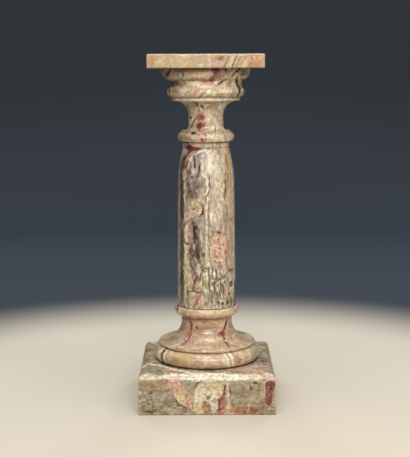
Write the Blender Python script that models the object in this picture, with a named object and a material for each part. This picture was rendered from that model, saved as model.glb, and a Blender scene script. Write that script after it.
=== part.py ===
"""A marble display column: a square plinth, a turned base, a turned shaft, a turned capital and a square top slab.

Lengths are in metres. The origin is the middle of the plinth's underside and +Z is up.
The five stones stand on one another on one axis, with a hairline gap at each joint.
Each moulding is given by its height and by how far it stands out from its neighbour.
"""

import math

import bmesh
import bpy

# Seats between stones
SEAT_GAP = 0.0003
SEAT_MARGIN = 0.0005

# Plinth: a square block with a quarter-round along its top edges
PLINTH_SIDE = 0.385
PLINTH_HEIGHT = 0.1175
PLINTH_ROUND = 0.0220

# Base, from its foot up: torus, groove, thin rim, flare, neck, fillet, collar
TORUS_MARGIN = 0.0135
TORUS_ROUND = 0.0230
TORUS_UNDERCUT = 0.0122
GROOVE_HEIGHT = 0.0015
RIM_SETBACK = 0.0160
RIM_ROUND = 0.0045
FLARE_HEIGHT = 0.0585
BASE_NECK_HEIGHT = 0.0115
BASE_NECK_SETBACK = 0.0115
BASE_FILLET_HEIGHT = 0.0075
BASE_FILLET_PROJECTION = 0.0012
COLLAR_ROUND = 0.0145
COLLAR_PROJECTION = 0.0093

# Shaft, from its foot up: tapered drum, shoulder, fillet
SHAFT_FOOT_RADIUS = 0.0850
SHAFT_TAPER = 0.0035
DRUM_HEIGHT = 0.3477
SHOULDER_HEIGHT = 0.1135
SHOULDER_SETBACK = 0.0160
SHAFT_FILLET_HEIGHT = 0.0147
SHAFT_FILLET_PROJECTION = 0.0018

# Capital, from its foot up: ring, fillet, cove, neck, bell, fillet, groove, torus, hollow, echinus
RING_ROUND = 0.0135
RING_FILLET_HEIGHT = 0.0042
RING_FILLET_PROJECTION = 0.0025
COVE_SHELF = 0.0063
COVE_ROUND = 0.0140
NECK_HEIGHT = 0.0275
BELL_HEIGHT = 0.0440
BELL_SHELF = 0.0045
BELL_FILLET_HEIGHT = 0.0085
BELL_FILLET_PROJECTION = 0.0008
CAP_GROOVE_HEIGHT = 0.0010
CAP_TORUS_ROUND = 0.0145
CAP_TORUS_PROJECTION = 0.0057
HOLLOW_HEIGHT = 0.0235
HOLLOW_DEPTH = 0.0030
ECHINUS_HEIGHT = 0.0325
ECHINUS_PROJECTION = 0.0235

# Top slab
SLAB_OVERHANG = 0.0310
SLAB_SIDE = 0.320
SLAB_THICKNESS = 0.038
SLAB_ARRIS = 0.003

# Fineness of the mesh
TURN_STEPS = 52
ROUND_STEPS = 8
SMALL_ROUND_STEPS = 4
ARRIS_STEPS = 2
MERGE_DISTANCE = 0.00001
SMOOTH_BELOW = math.radians(40)

# Colour and roughness of each stone
PLINTH_LOOK = ((0.42, 0.34, 0.24), 0.22)
BASE_LOOK = ((0.52, 0.38, 0.24), 0.15)
SHAFT_LOOK = ((0.47, 0.39, 0.29), 0.15)
CAPITAL_LOOK = ((0.50, 0.40, 0.28), 0.18)
SLAB_LOOK = ((0.60, 0.43, 0.26), 0.20)


def arc(middle, radii, start, end, steps):
    """Points (radius, height) of an elliptical arc. Angles are in degrees, 0 pointing outwards and 90 up."""
    (across, up), (across_radius, up_radius) = middle, radii
    angles = [math.radians(start + (end - start) * step / steps) for step in range(steps + 1)]
    return [(across + across_radius * math.cos(a), up + up_radius * math.sin(a)) for a in angles]


def half_round(radius, foot, rounding, steps):
    """A convex half-round of the given largest radius, standing on the height foot."""
    return arc((radius - rounding, foot + rounding), (rounding, rounding), -90, 90, steps)


def angle_at(across, rounding):
    """Angle in degrees, from the horizontal, at which a round reaches this far out from its middle."""
    return math.degrees(math.acos(across / rounding))


def stone(name, mesh, look, height):
    """Puts a finished mesh in the scene as one stone, standing at this height."""
    colour, roughness = look
    material = bpy.data.materials.new(name + "_marble")
    material.use_nodes = True
    shader = material.node_tree.nodes["Principled BSDF"]
    shader.inputs["Base Color"].default_value = (*colour, 1.0)
    shader.inputs["Roughness"].default_value = roughness
    shader.inputs["Metallic"].default_value = 0.0
    mesh.materials.append(material)
    mesh.shade_smooth()
    mesh.set_sharp_from_angle(angle=SMOOTH_BELOW)
    piece = bpy.data.objects.new(name, mesh)
    bpy.context.scene.collection.objects.link(piece)
    piece.location.z = height
    return piece


def turned(name, profile):
    """Mesh of a profile of (radius, height) points spun about the axis, with flat ends."""
    mesh = bpy.data.meshes.new(name)
    work = bmesh.new()
    points = [work.verts.new((radius, 0.0, height)) for radius, height in profile]
    lines = [work.edges.new(pair) for pair in zip(points, points[1:])]
    bmesh.ops.spin(
        work,
        geom=points + lines,
        cent=(0.0, 0.0, 0.0),
        axis=(0.0, 0.0, 1.0),
        angle=math.tau,
        steps=TURN_STEPS,
    )
    bmesh.ops.remove_doubles(work, verts=work.verts, dist=MERGE_DISTANCE)
    bmesh.ops.holes_fill(work, edges=work.edges, sides=0)
    bmesh.ops.recalc_face_normals(work, faces=work.faces)
    work.to_mesh(mesh)
    work.free()
    return mesh


def block(name, side, height, rounding, steps, top_only):
    """Mesh of a square block on z = 0, with its top edges, or all its edges, rounded."""
    mesh = bpy.data.meshes.new(name)
    work = bmesh.new()
    bmesh.ops.create_cube(work, size=1.0)
    bmesh.ops.scale(work, vec=(side, side, height), verts=work.verts)
    bmesh.ops.translate(work, vec=(0.0, 0.0, height / 2), verts=work.verts)
    half = height / 2
    rounded = [e for e in work.edges if not top_only or min(v.co.z for v in e.verts) > half]
    bmesh.ops.bevel(
        work,
        geom=rounded,
        offset=rounding,
        offset_type="OFFSET",
        segments=steps,
        profile=0.5,
        affect="EDGES",
    )
    bmesh.ops.recalc_face_normals(work, faces=work.faces)
    work.to_mesh(mesh)
    work.free()
    return mesh


def base_profile():
    """Outline of the turned base, from its foot up to the seat of the shaft."""
    torus_radius = PLINTH_SIDE / 2 - PLINTH_ROUND - TORUS_MARGIN
    torus_middle = torus_radius - TORUS_ROUND
    dip = angle_at(TORUS_ROUND - TORUS_UNDERCUT, TORUS_ROUND)
    torus_centre = TORUS_ROUND * math.sin(math.radians(dip))
    profile = arc((torus_middle, torus_centre), (TORUS_ROUND, TORUS_ROUND), -dip, 90, ROUND_STEPS)

    rim_foot = torus_centre + TORUS_ROUND + GROOVE_HEIGHT
    profile.append((torus_middle, rim_foot))
    rim_radius = torus_radius - RIM_SETBACK
    profile += half_round(rim_radius, rim_foot, RIM_ROUND, SMALL_ROUND_STEPS)

    neck_radius = SHAFT_FOOT_RADIUS - BASE_NECK_SETBACK
    flare_top = rim_foot + 2 * RIM_ROUND + FLARE_HEIGHT
    flare_reach = rim_radius - RIM_ROUND - neck_radius
    flare = arc((neck_radius + flare_reach, flare_top), (flare_reach, FLARE_HEIGHT), 270, 180, ROUND_STEPS)
    profile += flare[1:]

    fillet_radius = neck_radius + BASE_FILLET_PROJECTION
    fillet_foot = flare_top + BASE_NECK_HEIGHT
    fillet_top = fillet_foot + BASE_FILLET_HEIGHT
    profile += [(neck_radius, fillet_foot), (fillet_radius, fillet_foot), (fillet_radius, fillet_top)]

    collar_middle = SHAFT_FOOT_RADIUS + COLLAR_PROJECTION - COLLAR_ROUND
    seat = angle_at(SHAFT_FOOT_RADIUS + SEAT_MARGIN - collar_middle, COLLAR_ROUND)
    collar_centre = fillet_top + COLLAR_ROUND
    profile += arc((collar_middle, collar_centre), (COLLAR_ROUND, COLLAR_ROUND), -90, seat, ROUND_STEPS)
    return profile


def shaft_head_radius():
    """Radius of the shaft's top fillet, which the capital stands on."""
    return SHAFT_FOOT_RADIUS - SHAFT_TAPER - SHOULDER_SETBACK + SHAFT_FILLET_PROJECTION


def shaft_profile():
    """Outline of the shaft, from its foot up to its top fillet."""
    drum_radius = SHAFT_FOOT_RADIUS - SHAFT_TAPER
    sweep = (SHOULDER_HEIGHT**2 + SHOULDER_SETBACK**2) / (2 * SHOULDER_SETBACK)
    turn = math.degrees(math.asin(SHOULDER_HEIGHT / sweep))
    shoulder = arc((drum_radius - sweep, DRUM_HEIGHT), (sweep, sweep), 0, turn, SMALL_ROUND_STEPS)
    shoulder_top = DRUM_HEIGHT + SHOULDER_HEIGHT
    head = shaft_head_radius()
    return [
        (SHAFT_FOOT_RADIUS, 0.0),
        *shoulder,
        (head, shoulder_top),
        (head, shoulder_top + SHAFT_FILLET_HEIGHT),
    ]


def capital_profile():
    """Outline of the capital, from the ring that stands on the shaft up to the seat of the slab."""
    ring_middle = shaft_head_radius() + SEAT_MARGIN
    profile = half_round(ring_middle + RING_ROUND, 0.0, RING_ROUND, ROUND_STEPS)

    fillet_radius = ring_middle + RING_FILLET_PROJECTION
    fillet_foot = 2 * RING_ROUND
    cove_foot = fillet_foot + RING_FILLET_HEIGHT
    profile += [(fillet_radius, fillet_foot), (fillet_radius, cove_foot)]

    cove_reach = fillet_radius - COVE_SHELF
    neck_radius = cove_reach - COVE_ROUND
    neck_foot = cove_foot + COVE_ROUND
    profile += arc((cove_reach, neck_foot), (COVE_ROUND, COVE_ROUND), 270, 180, SMALL_ROUND_STEPS)

    echinus_radius = SLAB_SIDE / 2 - SLAB_OVERHANG
    hollow_end = echinus_radius - ECHINUS_PROJECTION
    torus_middle = hollow_end + CAP_TORUS_PROJECTION - CAP_TORUS_ROUND
    bell_fillet_radius = torus_middle + BELL_FILLET_PROJECTION
    bell_foot = neck_foot + NECK_HEIGHT
    bell_top = bell_foot + BELL_HEIGHT
    bell_reach = bell_fillet_radius - BELL_SHELF - neck_radius
    profile += arc((neck_radius + bell_reach, bell_foot), (bell_reach, BELL_HEIGHT), 180, 90, ROUND_STEPS)

    bell_fillet_top = bell_top + BELL_FILLET_HEIGHT
    torus_foot = bell_fillet_top + CAP_GROOVE_HEIGHT
    profile += [
        (bell_fillet_radius, bell_top),
        (bell_fillet_radius, bell_fillet_top),
        (torus_middle, bell_fillet_top),
    ]

    rise = angle_at(hollow_end - torus_middle, CAP_TORUS_ROUND)
    torus_centre = torus_foot + CAP_TORUS_ROUND
    profile += arc((torus_middle, torus_centre), (CAP_TORUS_ROUND, CAP_TORUS_ROUND), -90, rise, ROUND_STEPS)

    hollow_foot = torus_centre + CAP_TORUS_ROUND * math.sin(math.radians(rise))
    hollow_radii = (HOLLOW_DEPTH, HOLLOW_HEIGHT / 2)
    hollow = arc((hollow_end, hollow_foot + HOLLOW_HEIGHT / 2), hollow_radii, 270, 90, SMALL_ROUND_STEPS)
    profile += hollow[1:]

    echinus_top = hollow_foot + HOLLOW_HEIGHT + ECHINUS_HEIGHT
    echinus = arc((hollow_end, echinus_top), (ECHINUS_PROJECTION, ECHINUS_HEIGHT), -90, 0, ROUND_STEPS)
    return profile + echinus[1:]


def top_of(profile):
    """Height of a turned stone, which is where its profile ends."""
    return profile[-1][1]


def build():
    """Builds the five stones, each standing on the one below."""
    for old in list(bpy.data.objects):
        bpy.data.objects.remove(old, do_unlink=True)

    column = bpy.data.objects.new("column", None)
    bpy.context.scene.collection.objects.link(column)

    base, shaft, capital = base_profile(), shaft_profile(), capital_profile()
    base_foot = PLINTH_HEIGHT + SEAT_GAP
    shaft_foot = base_foot + top_of(base) + SEAT_GAP
    capital_foot = shaft_foot + top_of(shaft) + SEAT_GAP
    slab_foot = capital_foot + top_of(capital) + SEAT_GAP

    plinth_mesh = block("plinth", PLINTH_SIDE, PLINTH_HEIGHT, PLINTH_ROUND, ROUND_STEPS, top_only=True)
    slab_mesh = block("top_slab", SLAB_SIDE, SLAB_THICKNESS, SLAB_ARRIS, ARRIS_STEPS, top_only=False)
    stones = [
        stone("plinth", plinth_mesh, PLINTH_LOOK, 0.0),
        stone("base", turned("base", base), BASE_LOOK, base_foot),
        stone("shaft", turned("shaft", shaft), SHAFT_LOOK, shaft_foot),
        stone("capital", turned("capital", capital), CAPITAL_LOOK, capital_foot),
        stone("top_slab", slab_mesh, SLAB_LOOK, slab_foot),
    ]
    for piece in stones:
        piece.parent = column


build()
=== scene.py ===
"""Looks of a marble display column: fine stones in variegated marble, in a plain studio."""

import logging
import math
import random
from collections.abc import Sequence
from dataclasses import dataclass, field
from enum import Enum
from typing import Any

import bmesh
import bpy
from mathutils import Euler, Matrix, Quaternion, Vector, noise


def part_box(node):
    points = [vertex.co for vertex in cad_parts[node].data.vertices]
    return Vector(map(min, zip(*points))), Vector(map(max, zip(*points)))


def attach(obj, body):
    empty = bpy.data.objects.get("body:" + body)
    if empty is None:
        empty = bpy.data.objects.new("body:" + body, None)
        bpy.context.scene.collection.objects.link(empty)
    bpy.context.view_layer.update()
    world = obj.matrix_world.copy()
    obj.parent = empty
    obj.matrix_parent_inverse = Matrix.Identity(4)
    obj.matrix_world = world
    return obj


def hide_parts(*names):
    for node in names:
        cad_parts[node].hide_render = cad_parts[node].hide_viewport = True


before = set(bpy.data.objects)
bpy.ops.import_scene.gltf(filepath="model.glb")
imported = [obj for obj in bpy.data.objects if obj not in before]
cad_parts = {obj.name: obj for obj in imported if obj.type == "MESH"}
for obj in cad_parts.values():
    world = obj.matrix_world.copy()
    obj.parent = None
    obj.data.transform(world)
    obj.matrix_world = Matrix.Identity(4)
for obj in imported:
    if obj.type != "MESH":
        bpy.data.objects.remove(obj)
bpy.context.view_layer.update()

LOG = logging.getLogger("column")

Pair = tuple[float, float]
Pixel = Pair
Spot = tuple[float, float, float]
Rgba = tuple[float, float, float, float]
Marks = tuple["Blotch | Streak", ...]

# How marks are laid: overlap of a vein's stretches in widths, and how far marks follow the marble below them
STREAK_OVERLAP = 0.8
FOLLOW_PIXELS = (1.2, -1.2, 0.0)
FOLLOW_SHIFT = 0.4
FOLLOW_METRES = (0.004, -0.004, 0.003)

# Where the front's marks end inside a stone: swing and waves of that face, half its fade, and a far place
DEPTH_SWING = 0.05
DEPTH_WAVES = 24.0
DEPTH_FADE = 0.006
FAR = 9.0

# Drifts that give marks their ragged edges: waves per metre, reach in metres and octaves
EDGE_DRIFTS = ((45.0, 0.0030, 1.0), (130.0, 0.0030, 3.0))

# Layers of the ground: waves per broken piece, reach of the bending drift in pieces, share of the crumbs
BEND_WAVES = 0.45
BEND_REACH = 0.6
CLOUD_WAVES = 0.9
CRUMB_WAVES = 2.3
CRUMB_SHARE = 0.45
SHARE_WAVES = 0.5
STAIN_WAVES = 0.4
NET_WAVES = 0.9
GATE_WAVES = 0.7
RIDGE_WAVES = 0.55

# Parts of a noise's range, as low and high end, with start and end of the result where they aren't 0 and 1
CLOUD_SPAN = (0.34, 0.66)
CLAST_SPAN = (0.15, 0.85)
CLAST_GATE = (0.40, 0.60, 0.35, 1.0)
STAIN_SPAN = (0.55, 0.66)
NET_SPAN = (0.02, 0.11, 1.0, 0.0)
NET_GATE = (0.42, 0.60)
RIDGE_SPAN = (0.0, 0.028, 0.9, 0.0)
MOTTLE_SPAN = (0.32, 0.68)
CRACK_SPAN = (0.0, 0.030, 1.0, 0.0)
CRACK_GATE = (0.46, 0.62)
FLECK_SPAN = (0.58, 0.68)
SPECK_SPAN = (0.64, 0.72, 0.0, 0.6)
PIT_SPAN = (0.62, 0.72)
CHIP_SPAN = (0.60, 0.72)
RUB_SPAN = (0.35, 0.75, 0.0, 0.35)

# Shifts that keep the noises of one marble apart
STAIN_SHIFT = (3.1, 1.7, 5.3)
RIDGE_SHIFT = (7.7, 2.9, 1.3)
WEATHER_SHIFT = (1.9, 4.3, 2.6)

# Waves per metre of the fine layers
MOTTLE_SCALE = 135.0
CRACK_SCALE = 62.0
CRACK_GATE_SCALE = 0.4 * CRACK_SCALE
FLECK_SCALE = 150.0
SPECK_SCALE = 330.0
GRAIN_SCALE = 300.0
PIT_SCALE = 520.0
POLISH_SCALE = 38.0
NICK_SCALE = 55.0
RUB_SCALE = 14.0

# Polish: swing of its roughness, roughness of the fine veins, its gloss, depth of its relief in metres
POLISH_SWING = 0.22
VEIN_ROUGHNESS = 0.12
SPECULAR = 0.55
RELIEF_DEPTH = 0.0006
GRAIN_SHARE = 0.4
PIT_SHARE = 0.6

# Share of a joint's dark band, dirt and painted shade, that is solid
SOLID_DARKENING = 0.35

# Outlines: nearest points in metres, least bend that is eased in degrees, and shape of an eased corner
SAME_POINT = 0.00002
SHARP_BEND = 14.0
EASE_STEPS = 4
EASE_LIMIT = 0.45
EASE_ROOM = 4.0
EASE_GUARD = 2.2
DRUM_SHARES = (0.2, 0.4, 0.6, 0.8)

# Turning: nearest points in metres, and a hair that keeps a whole row number from being rounded down
WELD = 0.00001
ROW_HAIR = 0.0001

# Square stones: stretches of a corner, a wall and a rounded head, and the nicks of their arrises
CORNER_STEPS = 4
WALL_STEPS = 14
HEAD_STEPS = 18
SHARP_ANGLE = math.radians(50.0)
CHIP_NOISE = (0.8, 2.0, 3)
CHIP_FROM = 0.25
CHIP_GAIN = 1.6
RUB_GAIN = 0.25

# Marks of the unseen sides: ranges of angle, width, height in widths, strength and edge, and their depth
UNSEEN_ANGLE = (math.radians(-55.0), math.radians(235.0))
UNSEEN_WIDTH = (0.005, 0.022)
UNSEEN_STRETCH = (0.8, 1.6)
UNSEEN_STRENGTH = (0.5, 0.9)
UNSEEN_EDGE = (0.4, 0.8)
UNSEEN_DEPTH = 0.04


class Tone(Enum):
    """Colours of the marble, in sRGB from 0 to 255."""

    IVORY = (246, 236, 214)
    CREAM = (232, 216, 184)
    STRAW = (224, 204, 156)
    HONEY = (212, 180, 132)
    BEIGE = (200, 178, 146)
    TAN = (184, 150, 112)
    OCHRE = (168, 128, 82)
    ORANGE = (206, 152, 104)
    PEACH = (228, 188, 158)
    PINK = (218, 174, 156)
    ROSE = (178, 112, 98)
    WINE = (124, 62, 54)
    OXBLOOD = (88, 40, 34)
    LILAC = (186, 170, 162)
    MAUVE = (138, 118, 110)
    SAGE = (166, 156, 128)
    OLIVE = (122, 106, 76)
    UMBER = (80, 60, 42)
    SOOT = (48, 36, 28)

    def rgba(self) -> Rgba:
        """Linear colour for a socket."""
        return (*(linear(channel / 255) for channel in self.value), 1.0)


(
    IVORY, CREAM, STRAW, HONEY, BEIGE, TAN, OCHRE, ORANGE, PEACH, PINK,
    ROSE, WINE, OXBLOOD, LILAC, MAUVE, SAGE, OLIVE, UMBER, SOOT,
) = Tone


def linear(level: float) -> float:
    """Turns one sRGB channel into a linear one.

    Args:
        level: The channel, from 0 to 1.

    Returns:
        The linear channel, from 0 to 1.
    """
    return level / 12.92 if level <= 0.04045 else ((level + 0.055) / 1.055) ** 2.4


@dataclass(frozen=True)
class Wire:
    """A number that varies over the surface. Arithmetic on it adds Math nodes."""

    graph: "Graph"
    socket: bpy.types.NodeSocket

    def maths(self, operation: str, first: "float | Wire", second: "float | Wire") -> "Wire":
        """Adds one Math node.

        Args:
            operation: The node's operation.
            first: The first number.
            second: The second number.

        Returns:
            The result.
        """
        made = self.graph.node("ShaderNodeMath", {"operation": operation}, {0: first, 1: second})
        return Wire(self.graph, made.outputs[0])

    def __add__(self, other: "float | Wire") -> "Wire":
        """Sum."""
        return self.maths("ADD", self, other)

    def __radd__(self, other: float) -> "Wire":
        """Sum with a plain number on the left."""
        return self.maths("ADD", other, self)

    def __sub__(self, other: "float | Wire") -> "Wire":
        """Difference."""
        return self.maths("SUBTRACT", self, other)

    def __rsub__(self, other: float) -> "Wire":
        """Difference from a plain number."""
        return self.maths("SUBTRACT", other, self)

    def __mul__(self, other: "float | Wire") -> "Wire":
        """Product."""
        return self.maths("MULTIPLY", self, other)

    def __rmul__(self, other: float) -> "Wire":
        """Product with a plain number on the left."""
        return self.maths("MULTIPLY", other, self)

    def __truediv__(self, other: "float | Wire") -> "Wire":
        """Quotient."""
        return self.maths("DIVIDE", self, other)

    def __abs__(self) -> "Wire":
        """Size without its sign."""
        return self.maths("ABSOLUTE", self, 0.0)

    def floor(self) -> "Wire":
        """Whole number below."""
        return self.maths("FLOOR", self, 0.0)

    def step(self, low: float, high: float, start: float = 0.0, end: float = 1.0) -> "Wire":
        """Eases from start to end as the number goes from low to high.

        Args:
            low: Where the change begins.
            high: Where the change ends.
            start: Result up to low.
            end: Result from high on.

        Returns:
            The eased number.
        """
        limits = {"Value": self, "From Min": low, "From Max": high, "To Min": start, "To Max": end}
        made = self.graph.node("ShaderNodeMapRange", {"interpolation_type": "SMOOTHSTEP"}, limits)
        return Wire(self.graph, made.outputs[0])


class Graph:
    """A node tree that is filled from Python."""

    def __init__(self, tree: bpy.types.NodeTree) -> None:
        """Takes the tree to fill."""
        self.tree = tree

    def node(
        self,
        kind: str,
        settings: dict[str, Any] | None = None,
        inputs: dict[int | str, Any] | None = None,
    ) -> bpy.types.Node:
        """Adds one node.

        Args:
            kind: The node's type.
            settings: Its properties, set first; stops holds a ramp's places and colours.
            inputs: A value, socket or wire for each input, by name or number.

        Returns:
            The node.
        """
        made = self.tree.nodes.new(kind)
        for name, value in (settings or {}).items():
            if name == "stops":
                self.fill_ramp(made.color_ramp, value)
            else:
                setattr(made, name, value)
        for name, value in (inputs or {}).items():
            source = value.socket if isinstance(value, Wire) else value
            if isinstance(source, bpy.types.NodeSocket):
                self.tree.links.new(source, made.inputs[name])
            else:
                made.inputs[name].default_value = source
        return made

    @staticmethod
    def fill_ramp(ramp: bpy.types.ColorRamp, stops: Sequence[tuple[float, Tone]]) -> None:
        """Gives a ramp its stops.

        Args:
            ramp: The ramp.
            stops: Place and tone of each stop, from left to right.
        """
        while len(ramp.elements) < len(stops):
            ramp.elements.new(1.0)
        for element, (place, tone) in zip(ramp.elements, stops):
            element.position = place
            element.color = tone.rgba()

    def ramp(self, level: Wire, stops: Sequence[tuple[float, Tone]]) -> bpy.types.NodeSocket:
        """Turns a number into a colour by a ramp."""
        return self.node("ShaderNodeValToRGB", {"stops": stops}, {0: level}).outputs[0]

    def cell_shade(self, cells: dict[int | str, Any]) -> Wire:
        """A random number for each cell of a Voronoi Texture with these inputs."""
        made = self.node("ShaderNodeTexVoronoi", {}, cells)
        return self.number("ShaderNodeSeparateColor", {}, {0: made.outputs["Color"]})

    def number(self, kind: str, settings: dict[str, Any], inputs: dict[int | str, Any]) -> Wire:
        """Adds one node and returns its first output as a wire."""
        return Wire(self, self.node(kind, settings, inputs).outputs[0])

    def vector(self, operation: str, *parts: Any, scale: float | Wire | None = None) -> bpy.types.NodeSocket:
        """Adds one Vector Math node.

        Args:
            operation: The node's operation.
            parts: Its vectors, in order.
            scale: Its scale, where the operation has one.

        Returns:
            The resulting vector.
        """
        inputs: dict[int | str, Any] = dict(enumerate(parts))
        if scale is not None:
            inputs["Scale"] = scale
        return self.node("ShaderNodeVectorMath", {"operation": operation}, inputs).outputs[0]

    def length(self, vector: bpy.types.NodeSocket) -> Wire:
        """Length of a vector."""
        made = self.node("ShaderNodeVectorMath", {"operation": "LENGTH"}, {0: vector})
        return Wire(self, made.outputs["Value"])

    def dot(self, vector: Any, other: Any) -> Wire:
        """Dot product of two vectors."""
        made = self.node("ShaderNodeVectorMath", {"operation": "DOT_PRODUCT"}, {0: vector, 1: other})
        return Wire(self, made.outputs["Value"])

    def mix(self, under: Any, over: Any, factor: float | Wire, blend: str = "MIX") -> bpy.types.NodeSocket:
        """Lays one colour over another.

        Args:
            under: Colour below.
            over: Colour above.
            factor: How much of the upper colour shows.
            blend: The Mix node's blend type.

        Returns:
            The mixed colour.
        """
        settings = {"data_type": "RGBA", "blend_type": blend}
        return self.node("ShaderNodeMix", settings, {0: factor, 6: under, 7: over}).outputs[2]

    def grain(self, place: Any, scale: float, detail: float = 2.0, roughness: float = 0.5) -> Wire:
        """Adds a Noise Texture.

        Args:
            place: Where it is read.
            scale: Waves per metre.
            detail: Octaves.
            roughness: Strength of the finer octaves.

        Returns:
            The noise, around 0.5.
        """
        inputs = {"Vector": place, "Scale": scale, "Detail": detail, "Roughness": roughness}
        return self.number("ShaderNodeTexNoise", {}, inputs)

    def drift(self, place: Any, scale: float, reach: float, detail: float = 2.0) -> bpy.types.NodeSocket:
        """Shifts places about, so that what is drawn there gets natural edges.

        Args:
            place: The places.
            scale: Waves per metre.
            reach: How far they shift, in metres.
            detail: Octaves.

        Returns:
            The shifted places.
        """
        waves = self.node("ShaderNodeTexNoise", {}, {"Vector": place, "Scale": scale, "Detail": detail})
        centred = self.vector("SUBTRACT", waves.outputs["Color"], (0.5, 0.5, 0.5))
        return self.vector("ADD", place, self.vector("SCALE", centred, scale=2.0 * reach))


@dataclass(frozen=True)
class Camera:
    """The photograph's viewpoint, as a pinhole camera."""

    image_width: int = 410
    image_height: int = 457
    focal_pixels: float = 1105.0
    place: Spot = (-0.0039, -3.1766, 0.9741)
    pitch_down: float = math.radians(8.494)
    roll: float = math.radians(-0.25)
    sensor: float = 36.0

    def turn(self) -> Quaternion:
        """Rotation of the camera, which looks along its own -Z."""
        level = Euler((math.pi / 2 - self.pitch_down, 0.0, 0.0)).to_quaternion()
        return level @ Quaternion((0.0, 0.0, 1.0), self.roll)

    def seen(self, graph: Graph, place: Any, front_depth: float) -> bpy.types.NodeSocket:
        """Works out where the photograph shows each place of the marble.

        Args:
            graph: The material's graph.
            place: The places, in metres.
            front_depth: Y up to which the photograph's marks reach into the stone.

        Returns:
            Column and row in pixels, and a third number that is large behind front_depth.
        """
        away = graph.vector("SUBTRACT", place, self.place)
        turn = self.turn()
        right, up, ahead = (turn @ Vector(axis) for axis in ((1, 0, 0), (0, 1, 0), (0, 0, -1)))
        depth = graph.dot(away, ahead)
        column = graph.dot(away, right * self.focal_pixels) / depth + self.image_width / 2
        row = graph.dot(away, up * -self.focal_pixels) / depth + self.image_height / 2
        behind = Wire(graph, graph.node("ShaderNodeSeparateXYZ", {}, {0: place}).outputs["Y"])
        ragged = behind + DEPTH_SWING * (graph.grain(place, DEPTH_WAVES, 3.0) - 0.5)
        hidden = ragged.step(front_depth - DEPTH_FADE, front_depth + DEPTH_FADE, 0.0, FAR)
        parts = {"X": column, "Y": row, "Z": hidden}
        return graph.node("ShaderNodeCombineXYZ", {}, parts).outputs[0]

    def build(self) -> bpy.types.Object:
        """Puts the camera in the scene.

        Returns:
            The camera.
        """
        data = bpy.data.cameras.new("photo_view")
        data.sensor_fit = "AUTO"
        data.sensor_width = self.sensor
        data.lens = self.focal_pixels * self.sensor / self.image_height
        view = bpy.data.objects.new("photo_view", data)
        view.location = self.place
        view.rotation_mode = "QUATERNION"
        view.rotation_quaternion = self.turn()
        bpy.context.scene.collection.objects.link(view)
        bpy.context.scene.camera = view
        return view


class PatchGroup:
    """Node group that lays one patch of a tone over the marble below it."""

    def __init__(self) -> None:
        """Builds the group once, for every marble."""
        self.tree = bpy.data.node_groups.new("marble_patch", "ShaderNodeTree")
        face = self.tree.interface
        for name, kind in (
            ("Place", "NodeSocketVector"),
            ("Under", "NodeSocketColor"),
            ("Tone", "NodeSocketColor"),
            ("Middle", "NodeSocketVector"),
            ("Radii", "NodeSocketVector"),
            ("Turn", "NodeSocketFloat"),
            ("Follow", "NodeSocketVector"),
            ("Solid Until", "NodeSocketFloat"),
            ("Strength", "NodeSocketFloat"),
        ):
            face.new_socket(name=name, in_out="INPUT", socket_type=kind)
        face.new_socket(name="Colour", in_out="OUTPUT", socket_type="NodeSocketColor")
        self.fill()

    def fill(self) -> None:
        """Adds the nodes. Each patch follows the marble below it, which gives it a broken edge."""
        graph = Graph(self.tree)
        given = graph.node("NodeGroupInput").outputs
        bent = graph.vector("MULTIPLY_ADD", given["Under"], given["Follow"], given["Place"])
        away = graph.vector("SUBTRACT", bent, given["Middle"])
        turning = {"Vector": away, "Angle": given["Turn"]}
        own = graph.node("ShaderNodeVectorRotate", {"rotation_type": "Z_AXIS"}, turning).outputs[0]
        size = graph.length(graph.vector("DIVIDE", own, given["Radii"]))
        fade = {"Value": size, "From Min": given["Solid Until"], "To Min": given["Strength"], "To Max": 0.0}
        cover = graph.number("ShaderNodeMapRange", {"interpolation_type": "SMOOTHSTEP"}, fade)
        graph.node("NodeGroupOutput", {}, {0: graph.mix(given["Under"], given["Tone"], cover)})


@dataclass(frozen=True)
class Patch:
    """A patch of one tone inside the marble, as an ellipsoid.

    Attributes:
        tone: Its colour.
        middle: Its middle.
        radii: Its half sizes along its own axes.
        turn: Turn about the third axis that brings places to its own axes.
        strength: How far it covers what lies under it, from 0 to 1.
        edge: Share of its radius over which it fades out.
        follow: How far it follows the marble below it.
    """

    tone: Tone
    middle: Spot
    radii: Spot
    turn: float
    strength: float
    edge: float
    follow: Spot

    def lay(self, graph: Graph, group: PatchGroup, place: Any, under: Any) -> bpy.types.NodeSocket:
        """Lays the patch over a colour.

        Args:
            graph: The material's graph.
            group: The group that lays a patch.
            place: Where the marble is read.
            under: The colour below.

        Returns:
            The colour with the patch in it.
        """
        inputs = {
            "Place": place,
            "Under": under,
            "Tone": self.tone.rgba(),
            "Middle": self.middle,
            "Radii": self.radii,
            "Turn": self.turn,
            "Follow": self.follow,
            "Solid Until": 1.0 - self.edge,
            "Strength": self.strength,
        }
        return graph.node("ShaderNodeGroup", {"node_tree": group.tree}, inputs).outputs[0]


@dataclass(frozen=True)
class Blotch:
    """A patch that the photograph shows, by its pixels.

    Attributes:
        tone: Its colour.
        spot: Column and row of its middle.
        size: Width and height in pixels.
        strength: How far it covers what lies under it, from 0 to 1.
        lean: Degrees that it leans to the right.
        edge: Share of its radius over which it fades out.
    """

    tone: Tone
    spot: Pixel
    size: Pixel
    strength: float = 0.8
    lean: float = 0.0
    edge: float = 0.6

    def patches(self) -> list[Patch]:
        """Turns the blotch into a patch placed in pixels.

        Returns:
            The patch, as a list of one.
        """
        middle = (self.spot[0] + FOLLOW_SHIFT, self.spot[1] - FOLLOW_SHIFT, 0.0)
        half_seen = 2.0 * (1.0 - self.edge / 2)
        radii = (self.size[0] / half_seen, self.size[1] / half_seen, 1.0)
        turn = -math.radians(self.lean)
        return [Patch(self.tone, middle, radii, turn, self.strength, self.edge, FOLLOW_PIXELS)]


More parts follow.
